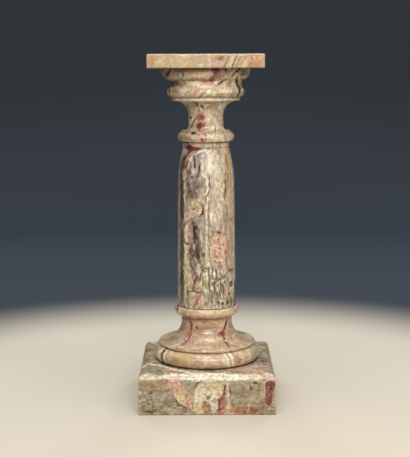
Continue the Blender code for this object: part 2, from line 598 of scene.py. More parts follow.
@dataclass(frozen=True)
class Streak:
    """A vein that the photograph shows, by its pixels.

    Attributes:
        tone: Its colour.
        route: Columns and rows that it runs through.
        width: Its width in pixels.
        strength: How far it covers what lies under it, from 0 to 1.
        edge: Share of its half width over which it fades out.
    """

    tone: Tone
    route: tuple[Pixel, ...]
    width: float = 1.5
    strength: float = 0.8
    edge: float = 0.7

    def patches(self) -> list[Patch]:
        """Turns the vein into a chain of thin patches.

        Returns:
            One patch for each stretch of its route.
        """
        found = []
        for (column, row), (next_column, next_row) in zip(self.route, self.route[1:]):
            across, down = next_column - column, next_row - row
            middle = ((column + next_column) / 2, (row + next_row) / 2)
            size = (self.width, math.hypot(across, down) + STREAK_OVERLAP * self.width)
            lean = math.degrees(math.atan2(across, -down))
            found += Blotch(self.tone, middle, size, self.strength, lean, self.edge).patches()
        return found


@dataclass(frozen=True)
class Ground:
    """The broken, cloudy marble between the patches.

    Attributes:
        clasts: Tones of the broken pieces, from the dark ones to the light ones.
        clouds: Tones of the clouds between them, from the dark ones to the light ones.
        piece: Size of a broken piece, in metres.
        drawn: How far the marble is drawn out along its own axes.
        lean: Turn of its own axes, in degrees.
        clast_share: How far the broken pieces show through the clouds.
        vein: Tone of the fine veins.
        vein_share: How strongly the fine veins show.
        stain: Tone of the wide stains.
        stain_share: How strongly the wide stains show.
        contrast: How much the mottle lightens and darkens it.
        crack_share: How strongly the fine cracks show.
        fleck_share: How strongly the pale flecks show.
        level: How light the marble is; 1 leaves its tones as they are.
    """

    clasts: tuple[Tone, ...]
    clouds: tuple[Tone, ...]
    piece: float = 0.022
    drawn: Spot = (1.0, 1.0, 1.0)
    lean: Spot = (0.0, 0.0, 0.0)
    clast_share: float = 0.6
    vein: Tone = OLIVE
    vein_share: float = 0.5
    stain: Tone = ROSE
    stain_share: float = 0.4
    contrast: float = 0.22
    crack_share: float = 0.5
    fleck_share: float = 0.25
    level: float = 1.0

    @staticmethod
    def spread(tones: tuple[Tone, ...], low: float, high: float) -> list[tuple[float, Tone]]:
        """Spaces tones evenly between two places on a ramp."""
        last = len(tones) - 1
        return [(low + (high - low) * number / last, tone) for number, tone in enumerate(tones)]

    def drawn_places(self, graph: Graph, place: Any) -> bpy.types.NodeSocket:
        """Turns places into the marble's own, drawn-out axes.

        Args:
            graph: The material's graph.
            place: The places, in metres.

        Returns:
            The places in its own axes.
        """
        turned = {
            "Vector": place,
            "Rotation": tuple(math.radians(angle) for angle in self.lean),
            "Scale": self.drawn,
        }
        return graph.node("ShaderNodeMapping", {"vector_type": "TEXTURE"}, turned).outputs[0]

    def paint(self, graph: Graph, own: Any) -> tuple[bpy.types.NodeSocket, Wire]:
        """Paints the ground.

        Args:
            graph: The material's graph.
            own: Where the marble is read, in its own axes.

        Returns:
            Its colour, and the cover of its fine veins.
        """
        per_metre = 1.0 / self.piece
        bent = graph.drift(own, BEND_WAVES * per_metre, BEND_REACH * self.piece, 5.0)

        clouds = graph.grain(bent, CLOUD_WAVES * per_metre, 7.0, 0.66)
        cloudy = graph.ramp(clouds, self.spread(self.clouds, *CLOUD_SPAN))

        clasts = {"Vector": bent, "Scale": per_metre}
        crumbs = {"Vector": bent, "Scale": CRUMB_WAVES * per_metre}
        shade, crumb_shade = graph.cell_shade(clasts), graph.cell_shade(crumbs)
        pick = (1.0 - CRUMB_SHARE) * shade + CRUMB_SHARE * crumb_shade
        pieces = graph.ramp(pick, self.spread(self.clasts, *CLAST_SPAN))
        share = graph.grain(own, SHARE_WAVES * per_metre, 2.0).step(*CLAST_GATE) * self.clast_share
        colour = graph.mix(cloudy, pieces, share)

        away = graph.vector("ADD", bent, STAIN_SHIFT)
        stains = graph.grain(away, STAIN_WAVES * per_metre, 5.0, 0.62)
        colour = graph.mix(colour, self.stain.rgba(), stains.step(*STAIN_SPAN, 0.0, self.stain_share))

        edges = {"Vector": bent, "Scale": NET_WAVES * per_metre}
        gap = graph.number("ShaderNodeTexVoronoi", {"feature": "DISTANCE_TO_EDGE"}, edges)
        gate = graph.grain(own, GATE_WAVES * per_metre, 2.0).step(*NET_GATE)
        net = gap.step(*NET_SPAN) * gate
        away = graph.vector("ADD", bent, RIDGE_SHIFT)
        ridge = abs(graph.grain(away, RIDGE_WAVES * per_metre, 6.0, 0.6) - 0.5)
        cover = net.maths("MAXIMUM", net, ridge.step(*RIDGE_SPAN)) * self.vein_share
        return graph.mix(colour, self.vein.rgba(), cover), cover

    def weather(self, graph: Graph, own: Any, under: Any) -> bpy.types.NodeSocket:
        """Lays the fine mottle, cracks and flecks that run through every patch.

        Args:
            graph: The material's graph.
            own: Where the marble is read, in its own axes.
            under: The colour below.

        Returns:
            The mottled colour.
        """
        dark, light = self.level - self.contrast, self.level + self.contrast
        mottle = graph.grain(own, MOTTLE_SCALE, 5.0, 0.66).step(*MOTTLE_SPAN, dark, light)
        grey = graph.node("ShaderNodeCombineColor", {}, {0: mottle, 1: mottle, 2: mottle}).outputs[0]
        colour = graph.mix(under, grey, 1.0, "MULTIPLY")
        shifted = graph.vector("ADD", own, WEATHER_SHIFT)
        crack = abs(graph.grain(shifted, CRACK_SCALE, 5.0, 0.62) - 0.5).step(*CRACK_SPAN)
        gate = graph.grain(own, CRACK_GATE_SCALE, 2.0).step(*CRACK_GATE, 0.0, self.crack_share)
        colour = graph.mix(colour, UMBER.rgba(), crack * gate)
        fleck = graph.grain(shifted, FLECK_SCALE, 3.0, 0.6).step(*FLECK_SPAN, 0.0, self.fleck_share)
        return graph.mix(colour, IVORY.rgba(), fleck)


@dataclass(frozen=True)
class JointDirtAndShade:
    """A dark band round one height: dirt and filler along a joint, and painted shade where a gap or an edge
    shadows it.

    Attributes:
        height: Height of the joint, in metres.
        width: How far the dark band reaches above and below it.
        strength: How far it covers the marble.
        tone: Its colour.
    """

    height: float
    width: float = 0.0016
    strength: float = 0.85
    tone: Tone = UMBER

    def cover(self, graph: Graph, place: Any) -> Wire:
        """How far the dark band covers each place."""
        height = Wire(graph, graph.node("ShaderNodeSeparateXYZ", {}, {0: place}).outputs["Z"])
        return abs(height - self.height).step(SOLID_DARKENING * self.width, self.width, self.strength, 0.0)


@dataclass(frozen=True)
class SeatShadow:
    """Painted shadow round the foot of a turned stone, on the square stone that it stands on, where its
    overhang shades the gap.

    Attributes:
        reach: Distance from the axis up to which the painted shadow is solid.
        width: How far it reaches beyond that.
        strength: How far it covers the marble.
        tone: Its colour.
    """

    reach: float
    width: float = 0.0060
    strength: float = 0.9
    tone: Tone = SOOT

    def cover(self, graph: Graph, place: Any) -> Wire:
        """How far the painted shadow covers each place."""
        away = graph.length(graph.vector("MULTIPLY", place, (1.0, 1.0, 0.0)))
        return away.step(self.reach, self.reach + self.width, self.strength, 0.0)


@dataclass(frozen=True)
class Tools:
    """What every stone is made with."""

    camera: Camera
    patch_group: PatchGroup


@dataclass(frozen=True)
class MarbleFinish:
    """Polished marble: a ground, the patches in it, dark joint bands of dirt and painted shade, and its
    polish.
    """

    name: str
    ground: Ground
    roughness: float = 0.24
    relief: float = 0.12

    def make(
        self, tools: Tools, front: Sequence[Patch], sides: Sequence[Patch],
        joints: Sequence[JointDirtAndShade | SeatShadow], front_depth: float,
    ) -> bpy.types.Material:
        """Builds the material.

        Args:
            tools: The photograph's viewpoint and the group that lays a patch.
            front: Patches of the side that the photograph shows, placed in pixels.
            sides: Patches of the other sides, placed in metres.
            joints: Dark bands at its joints, dirt and painted shade, and painted shadows round the feet of
                the stones on it.
            front_depth: Y up to which the front's patches reach into the stone.

        Returns:
            The material.
        """
        material = bpy.data.materials.new(self.name)
        material.use_nodes = True
        graph = Graph(material.node_tree)
        shader = material.node_tree.nodes["Principled BSDF"]
        place = graph.node("ShaderNodeTexCoord").outputs["Object"]

        own = self.ground.drawn_places(graph, place)
        colour, veins = self.ground.paint(graph, own)
        ragged = place
        for scale, reach, detail in EDGE_DRIFTS:
            ragged = graph.drift(ragged, scale, reach, detail)
        seen = tools.camera.seen(graph, ragged, front_depth)
        for patch in sides:
            colour = patch.lay(graph, tools.patch_group, ragged, colour)
        for patch in front:
            colour = patch.lay(graph, tools.patch_group, seen, colour)
        colour = self.ground.weather(graph, own, colour)
        speck = graph.grain(place, SPECK_SCALE, 2.0, 0.6).step(*SPECK_SPAN)
        colour = graph.mix(colour, UMBER.rgba(), speck)
        # Dark joint bands and painted shadows: dirt, and painted shade at gaps, under edges and round feet.
        for joint in joints:
            colour = graph.mix(colour, joint.tone.rgba(), joint.cover(graph, place))

        polish = graph.grain(place, POLISH_SCALE, 4.0, 0.6)
        rough = self.roughness + POLISH_SWING * (polish - 0.5) + VEIN_ROUGHNESS * veins
        fine = graph.grain(place, GRAIN_SCALE, 4.0, 0.65)
        pits = graph.grain(place, PIT_SCALE, 3.0, 0.6).step(*PIT_SPAN)
        height = GRAIN_SHARE * fine - PIT_SHARE * pits
        relief = {"Strength": self.relief, "Distance": RELIEF_DEPTH, "Height": height}
        normal = graph.node("ShaderNodeBump", {}, relief).outputs[0]
        graph.tree.links.new(colour, shader.inputs["Base Color"])
        graph.tree.links.new(rough.socket, shader.inputs["Roughness"])
        graph.tree.links.new(normal, shader.inputs["Normal"])
        shader.inputs["Specular IOR Level"].default_value = SPECULAR
        return material


@dataclass(frozen=True)
class OutlinePoint:
    """A point of a stone's outline.

    Attributes:
        reach: Distance from the axis, in metres.
        height: Height above the floor, in metres.
        sharp: Whether an arris or an inner corner lies here.
    """

    reach: float
    height: float
    sharp: bool = False


def arc(middle: Pair, radii: Pair, start: float, end: float, steps: int) -> list[OutlinePoint]:
    """Points of an elliptical arc.

    Args:
        middle: Reach and height of its middle.
        radii: Its half sizes, across and up.
        start: First angle in degrees, 0 pointing outwards and 90 up.
        end: Last angle.
        steps: Number of stretches.

    Returns:
        The points, sharp at both ends.
    """
    angles = [math.radians(start + (end - start) * step / steps) for step in range(steps + 1)]
    return [
        OutlinePoint(
            middle[0] + radii[0] * math.cos(angle),
            middle[1] + radii[1] * math.sin(angle),
            number in (0, steps),
        )
        for number, angle in enumerate(angles)
    ]


@dataclass
class Outline:
    """A stone's outline, drawn from its foot up."""

    ease: float = 0.0007
    points: list[OutlinePoint] = field(default_factory=list)

    def corner(self, reach: float, height: float) -> "Outline":
        """Adds a sharp corner.

        Args:
            reach: Its distance from the axis.
            height: Its height.

        Returns:
            The outline.
        """
        self.points.append(OutlinePoint(reach, height, True))
        return self

    def curve(self, points: Sequence[OutlinePoint]) -> "Outline":
        """Adds the points of an arc, leaving out one that repeats the last.

        Args:
            points: The points.

        Returns:
            The outline.
        """
        for point in points:
            last = self.points[-1] if self.points else None
            if last and math.hypot(last.reach - point.reach, last.height - point.height) < SAME_POINT:
                continue
            self.points.append(point)
        return self

    def eased(self) -> list[tuple[Vector, float]]:
        """Rounds the sharp corners a little.

        Returns:
            Each point as (reach, 0, height) with its wear, which is 1 on a worn arris.
        """
        spots = [Vector((point.reach, 0.0, point.height)) for point in self.points]
        made: list[tuple[Vector, float]] = []
        for number, (spot, point) in enumerate(zip(spots, self.points)):
            inside = 0 < number < len(spots) - 1
            if not (inside and point.sharp):
                made.append((spot, 0.0))
                continue
            back, ahead = spots[number - 1] - spot, spots[number + 1] - spot
            bend = math.degrees(back.angle(-ahead, 0.0))
            if bend < SHARP_BEND:
                made.append((spot, 0.0))
                continue
            outward = -back.cross(ahead).y > 0.0
            ease_back = min(self.ease, EASE_LIMIT * back.length)
            ease_ahead = min(self.ease, EASE_LIMIT * ahead.length)
            start, end = spot + back.normalized() * ease_back, spot + ahead.normalized() * ease_ahead
            if back.length > EASE_ROOM * self.ease:
                made.append((spot + back.normalized() * EASE_GUARD * self.ease, 0.0))
            for step in range(EASE_STEPS + 1):
                t = step / EASE_STEPS
                bezier = start * (1 - t) ** 2 + spot * (2 * t * (1 - t)) + end * t**2
                made.append((bezier, 1.0 if outward else 0.0))
            if ahead.length > EASE_ROOM * self.ease:
                made.append((spot + ahead.normalized() * EASE_GUARD * self.ease, 0.0))
        return made


class TurningTree:
    """Geometry Nodes that turn an outline about the upright axis and nick its arrises."""

    def __init__(self) -> None:
        """Builds the tree once, for every turned stone."""
        self.tree = bpy.data.node_groups.new("turning", "GeometryNodeTree")
        self.graph = Graph(self.tree)
        face = self.tree.interface
        face.new_socket(name="Outline", in_out="INPUT", socket_type="NodeSocketGeometry")
        self.steps = face.new_socket(name="Steps", in_out="INPUT", socket_type="NodeSocketInt")
        self.nick = face.new_socket(name="Nick Depth", in_out="INPUT", socket_type="NodeSocketFloat")
        self.marble = face.new_socket(name="Marble", in_out="INPUT", socket_type="NodeSocketMaterial")
        face.new_socket(name="Stone", in_out="OUTPUT", socket_type="NodeSocketGeometry")
        self.fill()

    def fill(self) -> None:
        """Adds the nodes."""
        graph = self.graph
        given = graph.node("NodeGroupInput").outputs
        outline, steps = given["Outline"], Wire(graph, given["Steps"])
        count = graph.node("GeometryNodeAttributeDomainSize", {}, {0: outline}).outputs["Point Count"]
        ring = steps + 1.0
        sheet = graph.node("GeometryNodeMeshGrid", {}, {"Vertices X": count, "Vertices Y": ring})
        index = graph.number("GeometryNodeInputIndex", {}, {})
        row = (index / ring + ROW_HAIR).floor()
        column = index - row * ring

        place = graph.node("GeometryNodeInputPosition").outputs[0]
        spot_inputs = {"Geometry": outline, "Value": place, "Index": row}
        spot = graph.node("GeometryNodeSampleIndex", {"data_type": "FLOAT_VECTOR"}, spot_inputs).outputs[0]
        worn = graph.node("GeometryNodeInputNamedAttribute", {"data_type": "FLOAT"}, {0: "wear"}).outputs[0]
        wear_inputs = {"Geometry": outline, "Value": worn, "Index": row}
        wear = graph.node("GeometryNodeSampleIndex", {"data_type": "FLOAT"}, wear_inputs).outputs[0]

        angle = column / steps * -math.tau
        round_inputs = {"Vector": spot, "Angle": angle}
        turned = graph.node("ShaderNodeVectorRotate", {"rotation_type": "Z_AXIS"}, round_inputs).outputs[0]
        placed = {0: sheet.outputs[0], "Position": turned}
        stone = graph.node("GeometryNodeSetPosition", {}, placed).outputs[0]
        kept = {"Geometry": stone, "Name": "wear", "Value": wear}
        stone = graph.node("GeometryNodeStoreNamedAttribute", {"data_type": "FLOAT"}, kept).outputs[0]
        stone = graph.node("GeometryNodeMergeByDistance", {}, {0: stone, "Distance": WELD}).outputs[0]

        normal = graph.node("GeometryNodeInputNormal").outputs[0]
        worn = graph.number("GeometryNodeInputNamedAttribute", {"data_type": "FLOAT"}, {0: "wear"})
        chips = graph.grain(place, NICK_SCALE, 3.0, 0.6).step(*CHIP_SPAN)
        rub = graph.grain(place, RUB_SCALE, 2.0, 0.5).step(*RUB_SPAN)
        depth = (chips + rub) * worn * Wire(graph, given["Nick Depth"]) * -1.0
        inward = graph.vector("SCALE", normal, scale=depth)
        stone = graph.node("GeometryNodeSetPosition", {}, {0: stone, "Offset": inward}).outputs[0]
        stone = graph.node("GeometryNodeSetShadeSmooth", {}, {0: stone}).outputs[0]
        stone = graph.node("GeometryNodeRealizeInstances", {}, {0: stone}).outputs[0]
        stone = graph.node("GeometryNodeSetMaterial", {}, {0: stone, "Material": given["Marble"]}).outputs[0]
        graph.node("NodeGroupOutput", {}, {0: stone})

    def turn(
        self, name: str, outline: list[tuple[Vector, float]], steps: int, nick: float,
        marble: bpy.types.Material,
    ) -> bpy.types.Object:
        """Turns one stone.

        Args:
            name: Name of the piece.
            outline: Points of its outline, with their wear.
            steps: Sides of the turned stone.
            nick: Depth of the nicks in its arrises, in metres.
            marble: Its material.

        Returns:
            The stone as a plain mesh object.
        """
        draft = bpy.data.meshes.new(name + "_outline")
        pairs = [(number, number + 1) for number in range(len(outline) - 1)]
        draft.from_pydata([spot for spot, _ in outline], pairs, [])
        wear = draft.attributes.new("wear", "FLOAT", "POINT")
        wear.data.foreach_set("value", [worn for _, worn in outline])
        lathe = bpy.data.objects.new(name + "_outline", draft)
        bpy.context.scene.collection.objects.link(lathe)
        modifier = lathe.modifiers.new("turning", "NODES")
        modifier.node_group = self.tree
        modifier[self.steps.identifier] = steps
        modifier[self.nick.identifier] = nick
        modifier[self.marble.identifier] = marble
        graph = bpy.context.evaluated_depsgraph_get()
        mesh = bpy.data.meshes.new_from_object(lathe.evaluated_get(graph))
        mesh.name = name
        lathe.modifiers.remove(modifier)
        bpy.data.objects.remove(lathe)
        mesh.attributes.remove(mesh.attributes["wear"])
        stone = bpy.data.objects.new(name, mesh)
        bpy.context.scene.collection.objects.link(stone)
        return stone


@dataclass
class Stone:
    """One stone of the column.

    Attributes:
        node: Name of its CAD node.
        piece: Name of its fine mesh.
        finish: Its marble.
        marks: Blotches and veins that the photograph shows on it.
        joints: Its dark joint bands, dirt and painted shade, and painted shadows round the feet of the
            stones on it.
        seed: Start of the marks on its unseen sides.
        hidden_marks: Number of marks on its unseen sides.
        hidden_tones: Their tones.
        drawn_up: How far they are drawn out upwards.
        front_depth: Y up to which the photograph's marks reach into the stone.
    """

    node: str
    piece: str
    finish: MarbleFinish
    marks: Marks = ()
    joints: tuple[JointDirtAndShade | SeatShadow, ...] = ()
    seed: int = 1
    hidden_marks: int = 12
    hidden_tones: tuple[Tone, ...] = (PINK, SAGE, CREAM, WINE, OLIVE)
    drawn_up: float = 1.6
    front_depth: float = -0.008

    def box(self) -> tuple[Vector, Vector]:
        """Lowest and highest corner of the CAD node."""
        low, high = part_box(self.node)
        return Vector(low), Vector(high)

    def unseen_patches(self) -> list[Patch]:
        """Scatters marks over the sides that the photograph doesn't show.

        Returns:
            The marks, placed in metres.
        """
        draw = random.Random(self.seed)
        low, high = self.box()
        reach = high.x
        found = []
        for _ in range(self.hidden_marks):
            angle = draw.uniform(*UNSEEN_ANGLE)
            height = draw.uniform(low.z, high.z)
            width = draw.uniform(*UNSEEN_WIDTH)
            radii = (width, UNSEEN_DEPTH, width * draw.uniform(*UNSEEN_STRETCH) * self.drawn_up)
            middle = (reach * math.cos(angle), reach * math.sin(angle), height)
            turn = -angle - math.pi / 2
            tone = draw.choice(self.hidden_tones)
            strength, edge = draw.uniform(*UNSEEN_STRENGTH), draw.uniform(*UNSEEN_EDGE)
            found.append(Patch(tone, middle, radii, turn, strength, edge, FOLLOW_METRES))
        return found

    def marble(self, tools: Tools) -> bpy.types.Material:
        """Builds the stone's marble."""
        front = [patch for mark in self.marks for patch in mark.patches()]
        return self.finish.make(tools, front, self.unseen_patches(), self.joints, self.front_depth)

    def place(self, piece: bpy.types.Object) -> None:
        """Ties the fine mesh to the column in place of the CAD node.

        Args:
            piece: The fine mesh.
        """
        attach(piece, "root")
        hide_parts(self.node)
        LOG.info("%s: %d faces", piece.name, len(piece.data.polygons))


@dataclass
class TurnedStone(Stone):
    """A stone turned about the upright axis."""

    sides: int = 192
    nick: float = 0.0012

    def outline(self) -> Outline:
        """The stone's outline, from the axis at its foot to the axis at its head."""
        raise NotImplementedError

    def build(self, lathe: TurningTree, tools: Tools) -> bpy.types.Object:
        """Turns, dresses and places the stone.

        Args:
            lathe: The tree that turns outlines.
            tools: What every stone is made with.

        Returns:
            The fine mesh.
        """
        outline = self.outline().eased()
        piece = lathe.turn(self.piece, outline, self.sides, self.nick, self.marble(tools))
        self.place(piece)
        return piece


@dataclass
class Base(TurnedStone):
    """The turned base: torus, groove, thin rim, flare, neck, fillet and collar."""

    torus_round: float = 0.0230
    torus_undercut: float = 0.0122
    groove_height: float = 0.0015
    rim_setback: float = 0.0160
    rim_round: float = 0.0045
    flare_height: float = 0.0585
    neck_height: float = 0.0115
    neck_setback: float = 0.0115
    fillet_projection: float = 0.0012
    collar_round: float = 0.0145
    collar_projection: float = 0.0093
    seat_margin: float = 0.0005

    def outline(self) -> Outline:
        """Draws the base's outline.

        Returns:
            The outline, from the axis at its foot to the axis at its head.
        """
        low, high = self.box()
        foot, top, torus_reach = low.z, high.z, high.x
        shaft_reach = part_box("shaft")[1][0]
        drawn = Outline().corner(0.0, foot)

        torus_middle = torus_reach - self.torus_round
        dip = math.acos(1.0 - self.torus_undercut / self.torus_round)
        torus_centre = foot + self.torus_round * math.sin(dip)
        rounding = (self.torus_round, self.torus_round)
        drawn.curve(arc((torus_middle, torus_centre), rounding, -math.degrees(dip), 90.0, 26))
        rim_foot = torus_centre + self.torus_round + self.groove_height
        drawn.corner(torus_middle, rim_foot)
        rim_reach = torus_reach - self.rim_setback
        rim_middle = (rim_reach - self.rim_round, rim_foot + self.rim_round)
        drawn.curve(arc(rim_middle, (self.rim_round, self.rim_round), -90.0, 90.0, 14))

        neck_reach = shaft_reach - self.neck_setback
        flare_top = rim_foot + 2 * self.rim_round + self.flare_height
        flare_reach = rim_reach - self.rim_round - neck_reach
        flare_radii = (flare_reach, self.flare_height)
        drawn.curve(arc((neck_reach + flare_reach, flare_top), flare_radii, 270.0, 180.0, 26))
        fillet_reach = neck_reach + self.fillet_projection
        fillet_foot = flare_top + self.neck_height
        collar_middle = shaft_reach + self.collar_projection - self.collar_round
        seat = math.acos((shaft_reach + self.seat_margin - collar_middle) / self.collar_round)
        collar_centre = top - self.collar_round * math.sin(seat)
        fillet_top = collar_centre - self.collar_round
        drawn.corner(neck_reach, fillet_foot)
        drawn.corner(fillet_reach, fillet_foot).corner(fillet_reach, fillet_top)
        collar = (self.collar_round, self.collar_round)
        drawn.curve(arc((collar_middle, collar_centre), collar, -90.0, math.degrees(seat), 22))
        return drawn.corner(0.0, top)


@dataclass
class Shaft(TurnedStone):
    """The turned shaft: tapered drum, shoulder and fillet."""

    taper: float = 0.0035
    drum_height: float = 0.3477
    shoulder_height: float = 0.1135
    shoulder_setback: float = 0.0160
    fillet_projection: float = 0.0018

    def outline(self) -> Outline:
        """Draws the shaft's outline.

        Returns:
            The outline, from the axis at its foot to the axis at its head.
        """
        low, high = self.box()
        foot, top, foot_reach = low.z, high.z, high.x
        drum_reach = foot_reach - self.taper
        drawn = Outline().corner(0.0, foot).corner(foot_reach, foot)
        for share in DRUM_SHARES:
            reach = foot_reach - self.taper * share
            drawn.points.append(OutlinePoint(reach, foot + self.drum_height * share))
        sweep = (self.shoulder_height**2 + self.shoulder_setback**2) / (2 * self.shoulder_setback)
        turn = math.degrees(math.asin(self.shoulder_height / sweep))
        drum_top = foot + self.drum_height
        drawn.curve(arc((drum_reach - sweep, drum_top), (sweep, sweep), 0.0, turn, 16))
        head = drum_reach - self.shoulder_setback + self.fillet_projection
        return drawn.corner(head, drum_top + self.shoulder_height).corner(head, top).corner(0.0, top)


@dataclass
class Capital(TurnedStone):
    """The turned capital: ring, fillet, cove, neck, bell, fillet, groove, torus, hollow and echinus."""

    ring_round: float = 0.0135
    ring_middle: float = 0.0678
    ring_fillet_height: float = 0.0042
    ring_fillet_projection: float = 0.0025
    cove_shelf: float = 0.0063
    cove_round: float = 0.0140
    neck_height: float = 0.0275
    bell_height: float = 0.0440
    bell_shelf: float = 0.0045
    bell_fillet_height: float = 0.0085
    bell_fillet_projection: float = 0.0008
    groove_height: float = 0.0010
    torus_round: float = 0.0145
    torus_projection: float = 0.0057
    hollow_height: float = 0.0235
    hollow_depth: float = 0.0030
    echinus_projection: float = 0.0235

    def outline(self) -> Outline:
        """Draws the capital's outline.

        Returns:
            The outline, from the axis at its foot to the axis at its head.
        """
        low, high = self.box()
        foot, top, echinus_reach = low.z, high.z, high.x
        drawn = Outline().corner(0.0, foot)
        ring = (self.ring_round, self.ring_round)
        drawn.curve(arc((self.ring_middle, foot + self.ring_round), ring, -90.0, 90.0, 22))
        fillet_reach = self.ring_middle + self.ring_fillet_projection
        cove_foot = foot + 2 * self.ring_round + self.ring_fillet_height
        drawn.corner(fillet_reach, foot + 2 * self.ring_round).corner(fillet_reach, cove_foot)

        cove_reach = fillet_reach - self.cove_shelf
        neck_reach = cove_reach - self.cove_round
        neck_foot = cove_foot + self.cove_round
        cove = (self.cove_round, self.cove_round)
        drawn.curve(arc((cove_reach, neck_foot), cove, 270.0, 180.0, 12))

        hollow_end = echinus_reach - self.echinus_projection
        torus_middle = hollow_end + self.torus_projection - self.torus_round
        bell_fillet_reach = torus_middle + self.bell_fillet_projection
        bell_foot = neck_foot + self.neck_height
        bell_top = bell_foot + self.bell_height
        bell_reach = bell_fillet_reach - self.bell_shelf - neck_reach
        bell = (bell_reach, self.bell_height)
        drawn.curve(arc((neck_reach + bell_reach, bell_foot), bell, 180.0, 90.0, 24))
        fillet_top = bell_top + self.bell_fillet_height
        drawn.corner(bell_fillet_reach, bell_top).corner(bell_fillet_reach, fillet_top)
        drawn.corner(torus_middle, fillet_top)

        rise = math.acos((hollow_end - torus_middle) / self.torus_round)
        torus_centre = fillet_top + self.groove_height + self.torus_round
        torus = (self.torus_round, self.torus_round)
        drawn.curve(arc((torus_middle, torus_centre), torus, -90.0, math.degrees(rise), 20))
        hollow_foot = torus_centre + self.torus_round * math.sin(rise)
        hollow_middle = (hollow_end, hollow_foot + self.hollow_height / 2)
        drawn.curve(arc(hollow_middle, (self.hollow_depth, self.hollow_height / 2), 270.0, 90.0, 16))
        echinus_foot = hollow_foot + self.hollow_height
        echinus = (self.echinus_projection, top - echinus_foot)
        drawn.curve(arc((hollow_end, top), echinus, -90.0, 0.0, 20))
        return drawn.corner(0.0, top)


@dataclass
class SquareStone(Stone):
    """A square stone with rounded edges, built as a stack of square rings."""

    foot_round: float = 0.0008
    head_round: float = 0.0220
    head_wear: float = 0.25
    corner_round: float = 0.0012
    side_steps: int = 56
    nick: float = 0.0016

    def plan(self, reach: float) -> list[tuple[Vector, Vector, float]]:
        """Points round the square at one height.

        Args:
            reach: Half the square's side, in metres.

        Returns:
            Each point with its outward direction and its wear.
        """
        found = []
        inner = reach - self.corner_round
        for quarter in range(4):
            turn = Matrix.Rotation(quarter * math.pi / 2, 3, "Z")
            for step in range(CORNER_STEPS + 1):
                angle = math.pi / 2 * step / CORNER_STEPS
                out = turn @ Vector((math.cos(angle), math.sin(angle), 0.0))
                heart = turn @ Vector((inner, inner, 0.0))
                found.append((heart + out * self.corner_round, out, 1.0))
            for step in range(1, self.side_steps):
                along = inner - 2 * inner * step / self.side_steps
                out = turn @ Vector((0.0, 1.0, 0.0))
                found.append((turn @ Vector((along, reach, 0.0)), out, 0.0))
        return found

    def heights(self) -> list[tuple[float, float, float]]:
        """Works out the square rings that the stone is built from.

        Returns:
            Setback, height and wear of each ring, from the foot up.
        """
        low, high = self.box()
        foot, top = low.z, high.z
        found = []
        for step in range(EASE_STEPS + 1):
            angle = math.pi / 2 * step / EASE_STEPS
            setback = self.foot_round * (1.0 - math.sin(angle))
            found.append((setback, foot + self.foot_round * (1.0 - math.cos(angle)), 1.0))
        start, end = foot + self.foot_round, top - self.head_round
        found += [(0.0, start + (end - start) * step / WALL_STEPS, 0.0) for step in range(1, WALL_STEPS)]
        for step in range(HEAD_STEPS + 1):
            angle = math.pi / 2 * step / HEAD_STEPS
            setback = self.head_round * (1.0 - math.cos(angle))
            found.append((setback, end + self.head_round * math.sin(angle), self.head_wear))
        return found

    def nicked(self, spot: Vector, out: Vector, wear: float, corner: float) -> Vector:
        """Moves a point in where the arrises are nicked and rubbed.

        Args:
            spot: The point.
            out: Its outward direction.
            wear: Wear of its ring.
            corner: Wear of its place in the ring.

        Returns:
            The point's worn place.
        """
        chip = max(0.0, noise.fractal(spot * NICK_SCALE, *CHIP_NOISE) - CHIP_FROM) * CHIP_GAIN
        rub = RUB_GAIN * max(0.0, noise.noise(spot * RUB_SCALE))
        depth = self.nick * max(wear, corner) * min(1.0, chip + rub)
        low, high = self.box()
        lowering = depth if wear and spot.z > (high.z + low.z) / 2 else 0.0
        return spot - (out * depth + Vector((0.0, 0.0, lowering)))

    def build(self, tools: Tools) -> bpy.types.Object:
        """Builds, dresses and places the stone.

        Args:
            tools: What every stone is made with.

        Returns:
            The fine mesh.
        """
        half = self.box()[1].x
        mesh = bpy.data.meshes.new(self.piece)
        work = bmesh.new()
        rings = []
        for setback, height, wear in self.heights():
            ring = []
            for spot, out, corner in self.plan(half - setback):
                point = Vector((spot.x, spot.y, height))
                ring.append(work.verts.new(self.nicked(point, out, wear, corner)))
            rings.append(ring)
        for lower, upper in zip(rings, rings[1:]):
            count = len(lower)
            for number in range(count):
                after = (number + 1) % count
                work.faces.new((lower[number], lower[after], upper[after], upper[number]))
        work.faces.new(list(reversed(rings[0])))
        work.faces.new(rings[-1])
        bmesh.ops.triangulate(work, faces=[face for face in work.faces if len(face.verts) > 4])
        bmesh.ops.recalc_face_normals(work, faces=work.faces)
        work.to_mesh(mesh)
        work.free()
        mesh.shade_smooth()
        mesh.set_sharp_from_angle(angle=SHARP_ANGLE)
        piece = bpy.data.objects.new(self.piece, mesh)
        bpy.context.scene.collection.objects.link(piece)
        mesh.materials.append(self.marble(tools))
        self.place(piece)
        return piece


@dataclass(frozen=True)
class Lamp:
    """One soft light.

    Attributes:
        name: Its name.
        place: Where it hangs, in metres.
        size: Its width and height, in metres.
        power: Its power, in watts.
        colour: Its colour.
        aim: The point that it faces.
        mirrored: Whether the polish mirrors it.
    """

    name: str
    place: Spot
    size: Pair
    power: float
    colour: Spot
    aim: Spot
    mirrored: bool = True

    def hang(self) -> None:
        """Hangs the light."""
        data = bpy.data.lights.new(self.name, "AREA")
        data.shape = "RECTANGLE"
        data.size, data.size_y = self.size
        data.energy = self.power
        data.color = self.colour
        lamp = bpy.data.objects.new(self.name, data)
        lamp.location = self.place
        lamp.rotation_euler = (Vector(self.aim) - Vector(self.place)).to_track_quat("-Z", "Y").to_euler()
        lamp.visible_glossy = self.mirrored
        bpy.context.scene.collection.objects.link(lamp)


